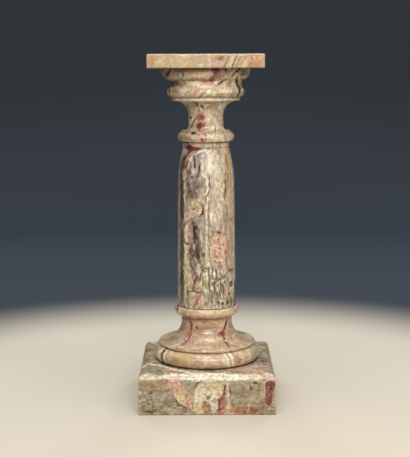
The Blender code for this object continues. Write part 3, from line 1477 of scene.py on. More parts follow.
BACK_POWER = 32.0
BACK_COLOUR = (0.97, 0.98, 1.0)
BACK_AIM = (0.0, 0.0, 0.6)
LAMPS = (
    Lamp("ceiling_light", (0.0, -0.6, 4.4), (2.8, 2.2), 105.0, (1.0, 0.97, 0.91), (0.0, -0.1, 0.0)),
    Lamp("front_light", (0.4, -2.9, 1.9), (1.8, 1.2), 61.0, (1.0, 0.95, 0.88), (0.0, 0.0, 0.8)),
    Lamp("key_light", (-0.35, -2.4, 2.05), (1.0, 0.35), 13.0, (1.0, 0.97, 0.92), (0.0, 0.0, 0.4)),
    Lamp("right_light", (2.4, -1.9, 1.5), (1.0, 1.6), 13.0, (1.0, 0.96, 0.9), (0.0, 0.0, 0.6)),
    Lamp("back_light", (-1.6, 2.9, 2.2), (0.9, 1.4), BACK_POWER, BACK_COLOUR, BACK_AIM, False),
    Lamp("back_light", (1.6, 2.9, 2.2), (0.9, 1.4), BACK_POWER, BACK_COLOUR, BACK_AIM, False),
)


@dataclass(frozen=True)
class Studio:
    """Plain floor that turns up into a plain backdrop, painted pale near the column as a pool of light and
    dim further out as painted shade, with soft lights.
    """

    pale: Rgba = (0.58, 0.53, 0.44, 1.0)
    dim: Rgba = (0.045, 0.055, 0.068, 1.0)
    pale_until: float = 0.85
    dim_from: float = 1.5
    floor_roughness: float = 0.75
    floor_gloss: float = 0.2
    radius: float = 4.2
    cove: float = 0.9
    cove_steps: int = 12
    wall_height: float = 3.6
    turns: int = 96
    weld: float = 0.0001
    surround: Rgba = (0.80, 0.86, 0.95, 1.0)
    surround_strength: float = 0.55

    def sweep(self) -> bpy.types.Object:
        """Builds floor and backdrop as one turned sheet.

        Returns:
            The sheet.
        """
        outline = [(0.0, 0.0), (self.radius - self.cove, 0.0)]
        for step in range(1, self.cove_steps + 1):
            angle = math.pi / 2 * step / self.cove_steps
            reach = self.radius - self.cove * (1.0 - math.sin(angle))
            outline.append((reach, self.cove * (1.0 - math.cos(angle))))
        outline.append((self.radius, self.wall_height))
        mesh = bpy.data.meshes.new("floor_sweep")
        work = bmesh.new()
        spots = [work.verts.new((reach, 0.0, height)) for reach, height in outline]
        lines = [work.edges.new(pair) for pair in zip(spots, spots[1:])]
        bmesh.ops.spin(
            work, geom=spots + lines, cent=(0, 0, 0), axis=(0, 0, 1), angle=math.tau, steps=self.turns
        )
        bmesh.ops.remove_doubles(work, verts=work.verts, dist=self.weld)
        bmesh.ops.recalc_face_normals(work, faces=work.faces)
        work.to_mesh(mesh)
        work.free()
        mesh.shade_smooth()
        sheet = bpy.data.objects.new("floor_sweep", mesh)
        bpy.context.scene.collection.objects.link(sheet)
        return sheet

    def paint(self, sheet: bpy.types.Object) -> None:
        """Paints the sheet pale near the column and dim far from it: a painted pool of light that fades into
        painted shade.

        Args:
            sheet: The sheet.
        """
        material = bpy.data.materials.new("floor_paint")
        material.use_nodes = True
        graph = Graph(material.node_tree)
        shader = material.node_tree.nodes["Principled BSDF"]
        place = graph.node("ShaderNodeTexCoord").outputs["Object"]
        away = graph.length(place)
        colour = graph.mix(self.pale, self.dim, away.step(self.pale_until, self.dim_from))
        graph.tree.links.new(colour, shader.inputs["Base Color"])
        shader.inputs["Roughness"].default_value = self.floor_roughness
        shader.inputs["Specular IOR Level"].default_value = self.floor_gloss
        sheet.data.materials.append(material)

    def light(self) -> None:
        """Hangs the lights and sets the surrounding light."""
        for lamp in LAMPS:
            lamp.hang()
        world = bpy.data.worlds.new("soft_surround")
        world.use_nodes = True
        surround = world.node_tree.nodes["Background"]
        surround.inputs["Color"].default_value = self.surround
        surround.inputs["Strength"].default_value = self.surround_strength
        bpy.context.scene.world = world
        bpy.context.scene.view_settings.view_transform = "Standard"

    def build(self) -> None:
        """Builds the studio."""
        sheet = self.sweep()
        self.paint(sheet)
        self.light()


# Marks that the photograph shows, in the order in which they are laid. A later one covers an earlier one.
# Most are the marble's own colours; those marked below paint highlights, shade or reflections.
PLINTH_TOP = (
    Blotch(SAGE, (156, 368), (34, 9), 0.5),
    Streak(OLIVE, ((150, 350), (148, 358), (146, 364)), 5.0, 0.5),
    Streak(TAN, ((148, 366), (160, 367.6), (172, 371.4)), 3.0, 0.7),
    Streak(IVORY, ((142, 367.6), (148, 363.8)), 1.3, 0.9, 0.5),
    Streak(IVORY, ((147, 363.8), (158, 365), (168, 367.8), (178, 370.4), (192, 372.8)), 1.7, 1.0, 0.5),
    Streak(OLIVE, ((170, 370.6), (180, 372.6), (190, 374)), 1.2, 0.75),
    Blotch(UMBER, (160, 371.6), (3.6, 1.2), 0.7),
    Blotch(PINK, (254, 368), (36, 8), 0.6),
    Blotch(MAUVE, (262, 357), (13, 16), 0.65),
    Streak(LILAC, ((236, 370), (252, 367), (268, 371)), 1.6, 0.7),
    Streak(MAUVE, ((228, 372), (246, 371), (262, 374)), 1.4, 0.6),
    Blotch(WINE, (262.6, 361.6), (4, 2.2), 0.85),
    Streak(ROSE, ((225, 371.5), (236, 369), (247, 366)), 1.3, 0.6),
)
PLINTH_MOULDING = (
    # Painted highlight: a bright ivory band along the rounded moulding where it faces the ceiling light.
    Blotch(IVORY, (204, 377.5), (92, 9), 0.7, edge=0.3),
    Blotch(STRAW, (148, 378), (16, 8), 0.5),
    Blotch(SAGE, (152, 380.5), (16, 3), 0.5),
    Blotch(PINK, (172, 379.6), (19, 6), 0.7),
    Streak(WINE, ((162, 379), (166.4, 378.4), (168, 381)), 1.1, 0.85),
    Streak(WINE, ((163.6, 381), (167.4, 382)), 1.0, 0.75),
    # Painted shade: a thin dark line along the foot of the moulding.
    Streak(OLIVE, ((184, 381), (203, 381.6)), 1.4, 0.5),
    Blotch(STRAW, (254.5, 378), (17, 7), 0.85),
    Blotch(SAGE, (251, 379), (6, 4), 0.4),
    Blotch(PINK, (271, 379), (9, 7), 0.6),
)
PLINTH_LEFT = (
    Blotch(TAN, (155, 386.6), (36, 7.4), 0.7, edge=0.35),
    Blotch(OLIVE, (151.6, 387), (6, 7), 0.6, edge=0.4),
    Blotch(OCHRE, (150.6, 385.4), (6, 3), 0.5),
    Blotch(BEIGE, (163, 388), (14, 5), 0.5),
    Blotch(ROSE, (162, 383.4), (14, 1.8), 0.4),
    Streak(OLIVE, ((140, 390.6), (156, 390.4), (172, 390.2)), 1.0, 0.6),
    Blotch(SAGE, (158, 401), (38, 20), 0.5),
    Blotch(LILAC, (163, 395), (18, 7), 0.45),
    Blotch(UMBER, (151.2, 393.4), (3.6, 2.6), 0.95),
    Streak(OLIVE, ((143, 393), (147, 399), (149, 405)), 2.0, 0.55),
    Streak(UMBER, ((151, 399), (153.8, 403), (153, 408), (156.2, 412.6)), 1.4),
    Blotch(UMBER, (150, 411.8), (11, 3), 0.85),
    Blotch(OLIVE, (144, 410.6), (6, 4), 0.6),
    Blotch(UMBER, (161.8, 407), (3.4, 1.5), 0.85, -60.0),
    Streak(UMBER, ((165, 400), (170, 402.6), (174, 402)), 0.9, 0.6),
    Blotch(STRAW, (171, 399), (7, 8), 0.45),
)
PLINTH_PEACH_BAND = (
    Blotch(OLIVE, (171, 402), (14, 14), 0.5),
    Streak(PINK, ((172, 382), (179, 388), (186, 395), (191, 404)), 11.0, 0.92, 0.35),
    Streak(PEACH, ((177, 389), (181, 396), (188, 404)), 9.0, 0.9, 0.35),
    Streak(HONEY, ((180, 389), (184, 396), (188, 402)), 8.0, 0.7),
    Streak(STRAW, ((178, 391), (181.4, 398), (186, 403)), 3.6, 0.6),
    Streak(PEACH, ((184, 389), (187, 393)), 4.0, 0.6),
    Blotch(OCHRE, (187, 396.4), (3.4, 5), 0.85),
    Streak(PINK, ((189, 395), (192, 400), (191.6, 405)), 3.4, 0.85),
    Streak(ROSE, ((170.6, 383), (174, 386.4), (173, 390)), 1.1, 0.75),
    Streak(ROSE, ((176, 382.6), (178.6, 386), (177.6, 390.6)), 1.2, 0.75),
    Streak(ROSE, ((180.6, 384), (182.6, 388), (181.4, 392)), 1.0, 0.6),
    Streak(ROSE, ((187.4, 401), (189, 405), (188, 407.4)), 2.0),
    Streak(IVORY, ((175.4, 394.6), (178, 399.6), (184.6, 404.6)), 1.4, 0.85),
    Streak(UMBER, ((176.4, 399.6), (177.4, 403.6), (181.6, 406), (188, 408.4)), 1.8, 0.85),
    Streak(SAGE, ((184.6, 384), (190, 391)), 4.0, 0.7),
    Streak(UMBER, ((188.6, 384), (191.6, 389.6)), 3.4, 0.7),
    Streak(SAGE, ((190.6, 382), (191, 392)), 7.0, 0.9, 0.4),
)
PLINTH_CREAM_BLOCK = (
    # Partly painted shade: the top of this dark streak is the shadow line under the moulding, and lower down
    # it is a vein.
    Streak(UMBER, ((204, 382.2), (197.4, 383), (194.6, 388.6)), 2.0, 0.92),
    Streak(UMBER, ((194.8, 390), (194.6, 398), (193.8, 408)), 1.4, 0.85),
    Streak(TAN, ((205.6, 386), (202, 391), (199.6, 397)), 1.2, 0.6),
    Blotch(CREAM, (209, 391), (28, 19), 0.9, edge=0.35),
    Blotch(HONEY, (216, 387), (16, 8), 0.65),
    Blotch(CREAM, (200.6, 402), (14, 24), 0.9, edge=0.35),
    Blotch(STRAW, (198.6, 408.6), (8, 9), 0.75),
    Streak(TAN, ((197, 403.6), (201, 404), (203, 408)), 1.0, 0.6),
    Blotch(MAUVE, (208.8, 397.2), (5.4, 4.6), 0.95, -20.0),
    Streak(TAN, ((206.6, 389), (206, 394), (206.4, 400)), 1.1, 0.65),
    Blotch(OCHRE, (205.4, 407), (5.6, 12), 0.9, edge=0.4),
    Blotch(UMBER, (205, 401.4), (3.4, 1.5), 0.7),
    Blotch(IVORY, (213.6, 403.6), (7.4, 20), 0.8, edge=0.4),
    Blotch(SAGE, (214.6, 399), (3.6, 7), 0.3),
    Streak(ROSE, ((210, 409), (211, 414)), 1.2, 0.7),
)
PLINTH_RED_VEIN = (
    Streak(WINE, ((226, 385), (224.6, 391), (222.6, 398)), 2.6, 0.95),
    Streak(WINE, ((219.4, 392), (219, 395.6)), 1.2, 0.7),
    Streak(ROSE, ((222.4, 398), (221.6, 406), (221.2, 416)), 7.0, 0.97, 0.3),
    Streak(WINE, ((223.4, 397), (219.6, 402), (219.4, 414)), 2.6, 0.85),
    Streak(OCHRE, ((224, 401), (223, 413)), 1.4, 0.5),
    Streak(PINK, ((225, 403.6), (220.6, 407.4)), 1.2, 0.6),
    Streak(PINK, ((225, 409), (221, 413)), 1.0, 0.6),
)
PLINTH_PALE_VEIN = (
    Streak(CREAM, ((226.6, 384), (228.4, 391), (227.8, 400)), 2.2, 0.9),
    Streak(ROSE, ((226.2, 392), (226.4, 400)), 0.9, 0.6),
    Streak(PEACH, ((228.4, 400), (228.4, 415)), 4.0, 0.9, 0.4),
    Streak(UMBER, ((230, 388), (229.9, 396)), 1.4, 0.85),
)
PLINTH_GREY_BLOCK = (
    Blotch(SAGE, (247, 395), (34, 24), 0.55),
    Blotch(OLIVE, (245, 392.6), (22, 12), 0.35),
    Blotch(OLIVE, (247, 403), (20, 3), 0.5),
    Blotch(UMBER, (254.4, 383.4), (6, 2), 0.95),
    Blotch(PINK, (254.6, 386.4), (3.4, 3), 0.7),
    Blotch(UMBER, (250.6, 387.8), (6, 2.4), 0.95, 65.0),
    Streak(UMBER, ((256, 385), (253, 388)), 1.0),
    Streak(SAGE, ((262, 383), (262, 405)), 5.0, 0.9, 0.4),
    Streak(OLIVE, ((259.4, 385), (259, 398)), 1.2, 0.4),
    Blotch(MAUVE, (243, 386.6), (5, 3), 0.5),
    Streak(TAN, ((234, 388), (240, 391), (247, 390)), 1.0, 0.55),
    Streak(TAN, ((236, 397), (244, 395), (252, 397.6)), 1.0, 0.55),
)
PLINTH_ORANGE_BAND = (
    Blotch(OCHRE, (246, 410.8), (33, 8), 0.95, edge=0.3),
    Blotch(ORANGE, (233.6, 410), (8, 6), 0.7),
    Blotch(WINE, (245, 410.6), (22, 5.4), 0.4),
    Blotch(WINE, (255, 411), (6, 4), 0.5),
    Streak(OXBLOOD, ((238.4, 407.4), (236.6, 413)), 1.1, 0.6),
    Streak(ORANGE, ((241.6, 407.4), (239.8, 413)), 1.1, 0.7),
    Streak(ORANGE, ((246, 408), (244.6, 413)), 1.0, 0.6),
    Blotch(WINE, (262, 403.6), (5.4, 3), 0.85),
    Streak(ROSE, ((243, 407), (241.6, 414)), 1.6, 0.75),
    Streak(PEACH, ((248.6, 406.4), (248, 414)), 1.0),
    Streak(WINE, ((252.6, 407.4), (251, 412)), 1.6, 0.7),
    Blotch(MAUVE, (263.4, 409), (10, 7.4), 0.75),
)
PLINTH_RED_BLOCK = (
    Blotch(PINK, (265.4, 392), (2.6, 20)),
    Blotch(ROSE, (263.2, 403.4), (5.4, 3.6), 0.9),
    Blotch(TAN, (274.4, 399), (3.4, 24)),
    Blotch(WINE, (270.6, 384), (9.4, 6), 0.98, edge=0.2),
    Blotch(WINE, (270.6, 386), (9, 9), 0.98, edge=0.2),
    Blotch(WINE, (270, 388), (8, 14), 0.98, edge=0.2),
    Blotch(WINE, (269.6, 393), (7.4, 16), 0.98, edge=0.2),
    Blotch(WINE, (269.2, 398), (7.2, 16), 0.98, edge=0.2),
    Streak(ROSE, ((267.8, 386), (267.2, 401)), 2.0, 0.5),
    Streak(OXBLOOD, ((271.4, 385), (270.6, 394), (270.2, 404)), 2.4, 0.45),
    Blotch(TAN, (269.6, 411.4), (8, 4), 0.6),
    Blotch(BEIGE, (275.6, 396), (1.8, 30)),
)
PLINTH_MARKS: Marks = (
    PLINTH_TOP + PLINTH_MOULDING + PLINTH_LEFT + PLINTH_PEACH_BAND + PLINTH_CREAM_BLOCK
    + PLINTH_RED_VEIN + PLINTH_PALE_VEIN + PLINTH_GREY_BLOCK + PLINTH_ORANGE_BAND + PLINTH_RED_BLOCK
)

FLARE_TINTS = (
    Blotch(SAGE, (168, 339), (22, 10), 0.7),
    Blotch(OLIVE, (167, 338), (17, 7), 0.3),
    Blotch(SAGE, (245, 338), (17, 9), 0.65),
    Blotch(SAGE, (183.5, 324), (6, 16), 0.6),
    Blotch(SAGE, (231, 328), (5, 18), 0.5),
    Blotch(SAGE, (155, 351), (6, 10), 0.6),
    Blotch(SAGE, (255, 351), (11, 14), 0.75),
    Blotch(TAN, (206, 330), (24, 14), 0.5),
    Blotch(PINK, (188, 343), (18, 6), 0.5),
    Blotch(PINK, (194, 327), (8, 8), 0.4),
)
COLLAR_AND_NECK = (
    Blotch(OLIVE, (184.6, 313), (5, 5), 0.5),
    Streak(WINE, ((178.8, 304), (178, 310)), 2.0, 0.85),
    Streak(TAN, ((183, 306), (190, 314)), 2.2, 0.75),
    Blotch(ROSE, (186.4, 308.6), (2.4, 1.8), 0.7),
    Blotch(PEACH, (205, 313), (28, 6), 0.6),
    Blotch(STRAW, (226, 311), (14, 8), 0.7),
    Streak(TAN, ((214, 309), (216, 314), (213, 317)), 1.2, 0.6),
    Streak(ROSE, ((184.6, 315.6), (194, 318.4), (206, 319.4), (218, 319)), 1.3, 0.75),
    Streak(OCHRE, ((186, 318.6), (205, 322), (225, 318.4)), 1.8, 0.6),
)
FLARE_LEFT_VEIN = (
    Blotch(PINK, (196, 324.6), (12, 8), 0.6),
    Blotch(LILAC, (186, 338), (14, 10), 0.5),
    Streak(PINK, ((191.4, 321), (190.6, 332), (187.6, 342)), 6.0, 0.7),
    Streak(WINE, ((189.6, 319.6), (192.4, 325.4), (191.4, 333.8), (189.4, 338.4)), 2.0, 0.95),
    Streak(ROSE, ((190.6, 331), (188.6, 336), (189.6, 342)), 3.0, 0.85),
    Streak(WINE, ((187, 334), (184.6, 338.6), (185.6, 342.6)), 1.1, 0.75),
    Streak(WINE, ((188.4, 339), (185.4, 343), (182, 345)), 1.8, 0.85),
    Streak(ROSE, ((193, 334), (193.8, 340), (192.4, 346)), 1.1, 0.7),
    Streak(ROSE, ((180, 341), (184, 338), (187, 333)), 1.1, 0.5),
    Blotch(WINE, (197.2, 327.2), (4, 2.2), 0.9, 60.0),
    Streak(ROSE, ((199, 328), (204, 329.4), (210, 327.6)), 1.1, 0.7),
    Blotch(ROSE, (214.6, 327), (4, 1.2), 0.6),
)
FLARE_RIGHT_VEIN = (
    Streak(PINK, ((226.6, 320), (224, 328), (221.4, 336)), 5.0, 0.6),
    Streak(WINE, ((227.2, 319.6), (226.6, 322.6), (224.8, 328), (223, 334)), 2.2, 0.97),
    Blotch(ROSE, (221.6, 334), (8, 5.4), 0.95),
    Blotch(WINE, (221.8, 333.6), (5.4, 3.4), 0.9),
    Streak(WINE, ((223, 335.4), (225.4, 341.2), (228.8, 345.4)), 2.4, 0.9),
    Streak(PINK, ((221, 337), (223, 343), (227, 347)), 1.6, 0.7),
    Blotch(CREAM, (225.6, 340.6), (1.6, 2.2), 0.85),
    Streak(ROSE, ((228, 343), (236, 347), (245, 348.4)), 1.2, 0.65),
    Streak(TAN, ((234, 336), (243, 341), (250, 341)), 1.1, 0.55),
)
RIM_LINES = (
    Streak(ROSE, ((177, 345.6), (192, 344.2), (207, 345.8)), 1.1, 0.6),
    Streak(ROSE, ((170, 347.6), (185, 349.6), (201, 350.6)), 1.3, 0.65),
    Streak(CREAM, ((172, 345.6), (184, 347.2), (200, 348)), 1.1, 0.6),
    Streak(TAN, ((203, 342), (214, 344), (222, 348)), 1.1, 0.55),
    Streak(STRAW, ((205, 347.4), (217, 350), (232, 350)), 1.6, 0.6),
    Streak(WINE, ((164.4, 347.6), (171, 349.6), (177, 351.4)), 1.4, 0.85),
)
TORUS_LEFT = (
    Streak(IVORY, ((164, 348.4), (158.8, 352), (158.8, 357), (161, 361.6)), 2.2, 0.9),
    Streak(OXBLOOD, ((165, 349), (162.4, 354.4), (162.6, 359.6), (165, 364.6)), 2.0, 0.97),
    Streak(IVORY, ((168, 350.4), (164.8, 355), (165, 360), (167, 364.4)), 1.8, 0.9),
    Streak(ROSE, ((171, 350), (167.4, 353.8), (166.8, 359), (169.4, 364.4)), 1.1),
    Blotch(HONEY, (179, 358.5), (26, 13), 0.75, edge=0.4),
    Blotch(OCHRE, (175, 361), (16, 8), 0.5),
    Streak(STRAW, ((171, 352), (168.6, 357), (170.4, 364)), 1.0, 0.7),
)
TORUS_BANDS = (
    # Painted shade: a wide tan band across the lower part of the torus.
    Blotch(TAN, (206, 366), (44, 5), 0.45),
    Streak(TAN, ((190, 352), (206, 354.6), (222, 353)), 1.2, 0.4),
    Blotch(CREAM, (226.4, 361), (9, 12), 0.85),
    Streak(IVORY, ((223.6, 352.6), (228.6, 357.6), (229.2, 366)), 2.0, 0.85),
    Streak(OCHRE, ((225.6, 353), (230.4, 358), (231.4, 364.6)), 0.9, 0.85),
    Streak(IVORY, ((227.8, 352.4), (232.6, 357), (234, 361.4), (233.2, 365.4)), 2.4, 0.92),
    Streak(ROSE, ((231.4, 352), (236.6, 357.6)), 1.0, 0.5),
    Blotch(TAN, (238, 359.4), (7, 10)),
    Blotch(OCHRE, (240, 361), (4, 5), 0.5),
    Streak(CREAM, ((239.6, 357.4), (243.2, 357.4), (244.2, 360), (243, 363.4)), 1.2, 0.92),
    Blotch(BEIGE, (247, 357), (4, 8), 0.5),
    Streak(CREAM, ((247.6, 351.4), (250.6, 354.6), (250, 359)), 1.3, 0.9),
)
BASE_MARKS: Marks = (
    FLARE_TINTS + COLLAR_AND_NECK + FLARE_LEFT_VEIN + FLARE_RIGHT_VEIN + RIM_LINES + TORUS_LEFT
    + TORUS_BANDS
)

SHAFT_TINTS = (
    Blotch(CREAM, (217, 165), (20, 34), 0.6),
    Blotch(CREAM, (217, 200), (18, 50), 0.5),
    Blotch(LILAC, (214, 188), (12, 40), 0.3),
    Streak(LILAC, ((204, 204), (204, 234), (204, 264)), 9.0, 0.5),
    Blotch(LILAC, (183.2, 146.5), (3.4, 6), 0.6),
    Blotch(CREAM, (214, 147), (16, 6), 0.5),
    Blotch(PEACH, (225, 147), (7, 8), 0.7),
)
SHAFT_HEAD = (
    Blotch(PINK, (195, 145.4), (7, 4), 0.9),
    Blotch(PEACH, (199, 147), (6, 4), 0.9),
    Blotch(OXBLOOD, (189.6, 147.5), (6.5, 7.6), 0.97, edge=0.45),
    Blotch(WINE, (195, 148.8), (12, 4), 0.97, edge=0.45),
    Streak(WINE, ((190.5, 150), (187.5, 154), (185.2, 158.6)), 3.0, 0.95),
    Streak(OXBLOOD, ((192.6, 150.6), (190, 156)), 1.8, 0.95),
    Streak(PEACH, ((192, 152.6), (188.8, 156.6), (186.6, 161)), 1.8, 0.85),
    Streak(IVORY, ((203.4, 150.4), (197, 152.8), (192.8, 155.6), (190.6, 161)), 2.0, 0.95),
    # Painted shadow: a thin brown line under the fillet's edge.
    Streak(TAN, ((202, 149.2), (212, 149.6), (222, 149)), 1.0, 0.7),
    Blotch(PINK, (186, 152), (2.6, 5), 0.7, 15.0),
    Blotch(LILAC, (196, 167), (11, 24), 0.65),
)
SHAFT_EDGES = (
    Streak(HONEY, ((225, 150), (228.6, 162), (229.8, 176), (230.2, 196), (230.4, 222)), 5.0),
    Streak(OCHRE, ((226, 154), (228, 168), (228.2, 186)), 2.4, 0.6),
    # Painted highlight: a pale line down the right limb.
    Streak(CREAM, ((230.6, 160), (232.6, 176), (233, 200), (233, 240), (233, 290)), 1.3, 0.7),
    Streak(OCHRE, ((225.8, 152.5), (227, 165), (226, 178)), 0.9, 0.7),
    Streak(UMBER, ((225.8, 177), (225.6, 190)), 0.9, 0.85),
    Streak(OCHRE, ((226, 198), (226.4, 215), (227, 240), (228, 256)), 0.9, 0.75),
    # Along the left limb: a painted pale rim line, then a dark band that is partly vein and partly a painted
    # dark reflection.
    Streak(LILAC, ((181, 158), (179.6, 180), (179.2, 226), (179.4, 270), (180, 303)), 1.6, 0.5),
    Streak(
        UMBER, ((184, 158), (182, 170), (181.8, 196), (181.8, 226), (181.8, 262), (182.2, 303)), 3.6, 0.9,
    ),
    Streak(MAUVE, ((183.4, 240), (183.2, 262)), 1.6, 0.6),
    Streak(SOOT, ((183.2, 186), (183.4, 212)), 1.6),
    Streak(SOOT, ((183.6, 222), (183.6, 252), (183, 290)), 1.4, 0.75),
    Streak(WINE, ((183.8, 213), (183.6, 221)), 1.8, 0.9),
    Streak(IVORY, ((185.4, 176), (185.2, 192), (185, 206)), 1.4, 0.95),
    Streak(PINK, ((188, 158), (186.4, 168), (186, 176)), 2.0, 0.6),
    Streak(UMBER, ((184.6, 158), (185.2, 163), (184, 169)), 1.6),
    Streak(OXBLOOD, ((188, 161), (186.8, 166), (185.4, 169)), 1.6, 0.85),
    Streak(CREAM, ((189.4, 163), (187.6, 170), (186.6, 177)), 1.4, 0.75),
    Streak(UMBER, ((188.4, 168), (187, 179)), 1.4),
)
SHAFT_UPPER_DARK = (
    Streak(SOOT, ((194.2, 155.6), (194.7, 162), (194.9, 168)), 1.7, 0.97),
    Streak(MAUVE, ((197.4, 154), (197.6, 163)), 1.6, 0.7),
    Streak(UMBER, ((189.6, 169.6), (190.4, 174.6)), 2.0, 0.85),
    Streak(MAUVE, ((190.6, 162), (190.4, 172)), 1.8, 0.6),
    Streak(UMBER, ((199.8, 163), (199.2, 171), (197.2, 180)), 2.6),
    Streak(SOOT, ((199.8, 165), (199.4, 172)), 1.1),
    Blotch(CREAM, (193.6, 171), (3.4, 6), 0.75),
    Blotch(OXBLOOD, (192.6, 176.8), (4, 3), 0.9),
    Blotch(WINE, (187.8, 180), (2.4, 2.4), 0.7),
    Streak(SAGE, ((205, 152), (204.8, 166)), 1.8, 0.6),
    Blotch(MAUVE, (193.5, 188), (14, 26), 0.7),
    Blotch(UMBER, (192, 190), (9, 13), 0.4),
    Blotch(UMBER, (188, 184), (2.2, 4.6)),
    Blotch(UMBER, (190, 191.5), (2.4, 3.4), 0.9, -30.0),
    Blotch(UMBER, (195, 183), (1.8, 4)),
    Blotch(UMBER, (198, 187), (1.8, 3), 0.65),
    Blotch(LILAC, (191.6, 186.6), (2.6, 4), 0.75),
    Blotch(CREAM, (196.6, 191), (2.4, 3.4), 0.6),
    Blotch(OLIVE, (187, 196.4), (2, 5), 0.85),
    Blotch(UMBER, (194, 197), (6, 3.4), 0.6),
    Blotch(SAGE, (190, 203), (10, 8), 0.6),
)
SHAFT_MIDDLE_VEIN = (
    Streak(CREAM, ((203, 151), (202.4, 160), (202.2, 168), (203.4, 176)), 3.4, 0.7),
    Streak(OLIVE, ((205, 152), (204.6, 162), (205, 172)), 0.9, 0.5),
    Streak(IVORY, ((204.6, 175), (207.4, 180), (207.8, 189), (205.6, 195.4)), 2.0, 0.7),
    Streak(
        UMBER, ((209.4, 176), (210.4, 181), (210.6, 188.6), (208, 194), (205.4, 198.4), (205.6, 202)),
        1.4, 0.9,
    ),
    Streak(CREAM, ((206.8, 200), (206.4, 210), (206.8, 222), (206.6, 240), (206.8, 262)), 2.2, 0.75),
    Streak(OLIVE, ((208.6, 202), (209, 212), (208.8, 224), (209.4, 240), (210, 262)), 1.1, 0.85),
    Streak(UMBER, ((209.4, 205), (209.6, 216)), 0.9, 0.6),
    Streak(OLIVE, ((204.6, 214), (204.2, 228), (204.8, 244), (203.6, 262)), 0.9, 0.7),
    Streak(CREAM, ((201.6, 224), (202, 236), (201.4, 246)), 1.8, 0.6),
    Streak(UMBER, ((199.6, 228), (200, 240), (201.4, 249)), 0.9, 0.7),
    Blotch(SAGE, (203.4, 184), (4, 14), 0.5),
    Blotch(STRAW, (202.6, 194), (4, 9), 0.5, 15.0),
)
SHAFT_PEACH_PATCH = (
    Blotch(STRAW, (195, 204), (12, 6), 0.6),
    Blotch(SAGE, (189, 214), (8, 12), 0.6),
    Streak(PEACH, ((203, 208.6), (194, 212.6), (186.6, 220.6)), 6.4, 0.9, 0.4),
    Streak(STRAW, ((201, 207), (192, 212), (186, 215)), 2.0),
    Streak(OLIVE, ((198, 216), (191, 219), (187, 223)), 1.4),
    Blotch(OLIVE, (194.2, 208.8), (3.4, 2.4), 0.9),
    Streak(SOOT, ((203, 203.6), (203.7, 209), (202.7, 213), (200, 216.4)), 1.9, 0.92),
    Blotch(LILAC, (200.6, 223), (8, 14), 0.7),
    Blotch(OLIVE, (185.6, 225), (3, 4.5), 0.7),
)
SHAFT_LOWER_DARK = (
    Streak(IVORY, ((187.6, 225), (186.2, 232), (186.4, 240), (186, 252), (186.4, 266)), 2.6, 0.9),
    Blotch(PINK, (190.6, 231), (3.6, 9), 0.7),
    Blotch(LILAC, (190, 238), (4.4, 7), 0.5),
    Streak(OLIVE, ((196, 220), (197.4, 227), (198.8, 234), (197, 243)), 3.0, 0.7),
    Streak(UMBER, ((193.6, 223), (195.4, 232), (194.4, 242)), 5.4, 0.75),
    Streak(SOOT, ((193.6, 224), (195.2, 230), (195.2, 236), (193.8, 240)), 2.8, 0.95),
    Streak(SOOT, ((197.2, 238), (198.6, 246)), 2.2, 0.95),
    Streak(LILAC, ((203.4, 226), (202.6, 240), (203.4, 252)), 2.6, 0.7),
    Blotch(MAUVE, (195.5, 252), (12, 24)),
    Blotch(UMBER, (196, 251), (10, 19), 0.55),
    Streak(UMBER, ((184.6, 240), (188.5, 244)), 1.6, 0.9),
    Blotch(UMBER, (190, 250.6), (1.8, 7), 0.9),
    Blotch(UMBER, (197.6, 252.5), (3.8, 10), 0.9),
    Blotch(SOOT, (198.4, 257), (3, 5), 0.85),
    Blotch(SOOT, (203.2, 254.5), (2, 5), 0.9, -15.0),
    Blotch(SOOT, (192.6, 256.4), (2, 3), 0.85),
    Blotch(CREAM, (193.8, 247), (2, 6), 0.6),
    Streak(CREAM, ((194, 258), (196, 262)), 1.4, 0.7),
)
SHAFT_RIGHT_SPOTS = (
    Blotch(SAGE, (226.6, 223), (5, 14), 0.5),
    Blotch(UMBER, (226, 190.6), (2.4, 5.4), 0.95),
    Blotch(WINE, (225.4, 194.4), (1.6, 2), 0.7),
    Blotch(OLIVE, (224.6, 197), (2.4, 3.4), 0.75, -20.0),
    Blotch(PEACH, (228.6, 193), (2.6, 7), 0.6),
)
SHAFT_PINK_PATCH = (
    Blotch(PEACH, (218.8, 246), (18, 34), 0.95, edge=0.3),
    Blotch(PINK, (218.8, 249), (16, 26), 0.45, edge=0.4),
    Streak(CREAM, ((212.4, 236), (212.6, 246), (212, 256)), 1.4, 0.7),
    Streak(ROSE, ((221, 236), (224.6, 241), (223, 246)), 1.0, 0.7),
    Streak(ROSE, ((213.6, 249.6), (218, 251.6), (223.6, 252)), 1.0, 0.7),
    Blotch(ROSE, (217.4, 232), (9.6, 4), 0.95),
    Blotch(UMBER, (219, 232.4), (5.4, 1.5), 0.7),
    Blotch(TAN, (223.4, 234), (4, 4), 0.6),
    Blotch(CREAM, (217.2, 238.4), (6.4, 3.4), 0.6),
    Blotch(CREAM, (222.8, 240.4), (3.4, 4.4), 0.6),
    Blotch(ROSE, (216.2, 242.8), (7, 2), 0.65),
    Blotch(CREAM, (217.4, 246), (4.6, 2.4), 0.55),
    Blotch(ROSE, (220.6, 248.2), (5, 1.7), 0.6),
    Blotch(CREAM, (221.4, 252), (8, 3), 0.65),
    Blotch(ROSE, (217.8, 256.2), (7, 2.4), 0.65),
    Blotch(ROSE, (223.2, 257.4), (2.6, 2.6), 0.7),
    Blotch(CREAM, (221.6, 260.4), (5, 2.4), 0.7),
    Streak(UMBER, ((213.6, 260.4), (217.4, 262.6), (222, 261.8)), 1.5, 0.9),
)
SHAFT_RIGHT_STRIP = (
    Streak(ROSE, ((226, 246), (226.4, 258), (226.6, 266), (228, 271)), 2.0),
    Streak(MAUVE, ((227.6, 236), (228.2, 248), (228.4, 258)), 1.0, 0.85),
    Streak(UMBER, ((228, 271.4), (231.6, 270), (234, 268.6)), 1.6),
    Streak(HONEY, ((231.2, 222), (231.2, 244), (230.8, 264)), 4.0, 0.7),
    Streak(TAN, ((229, 236), (229.2, 262)), 1.2, 0.7),
    Blotch(LILAC, (216, 265), (8, 6), 0.5),
)
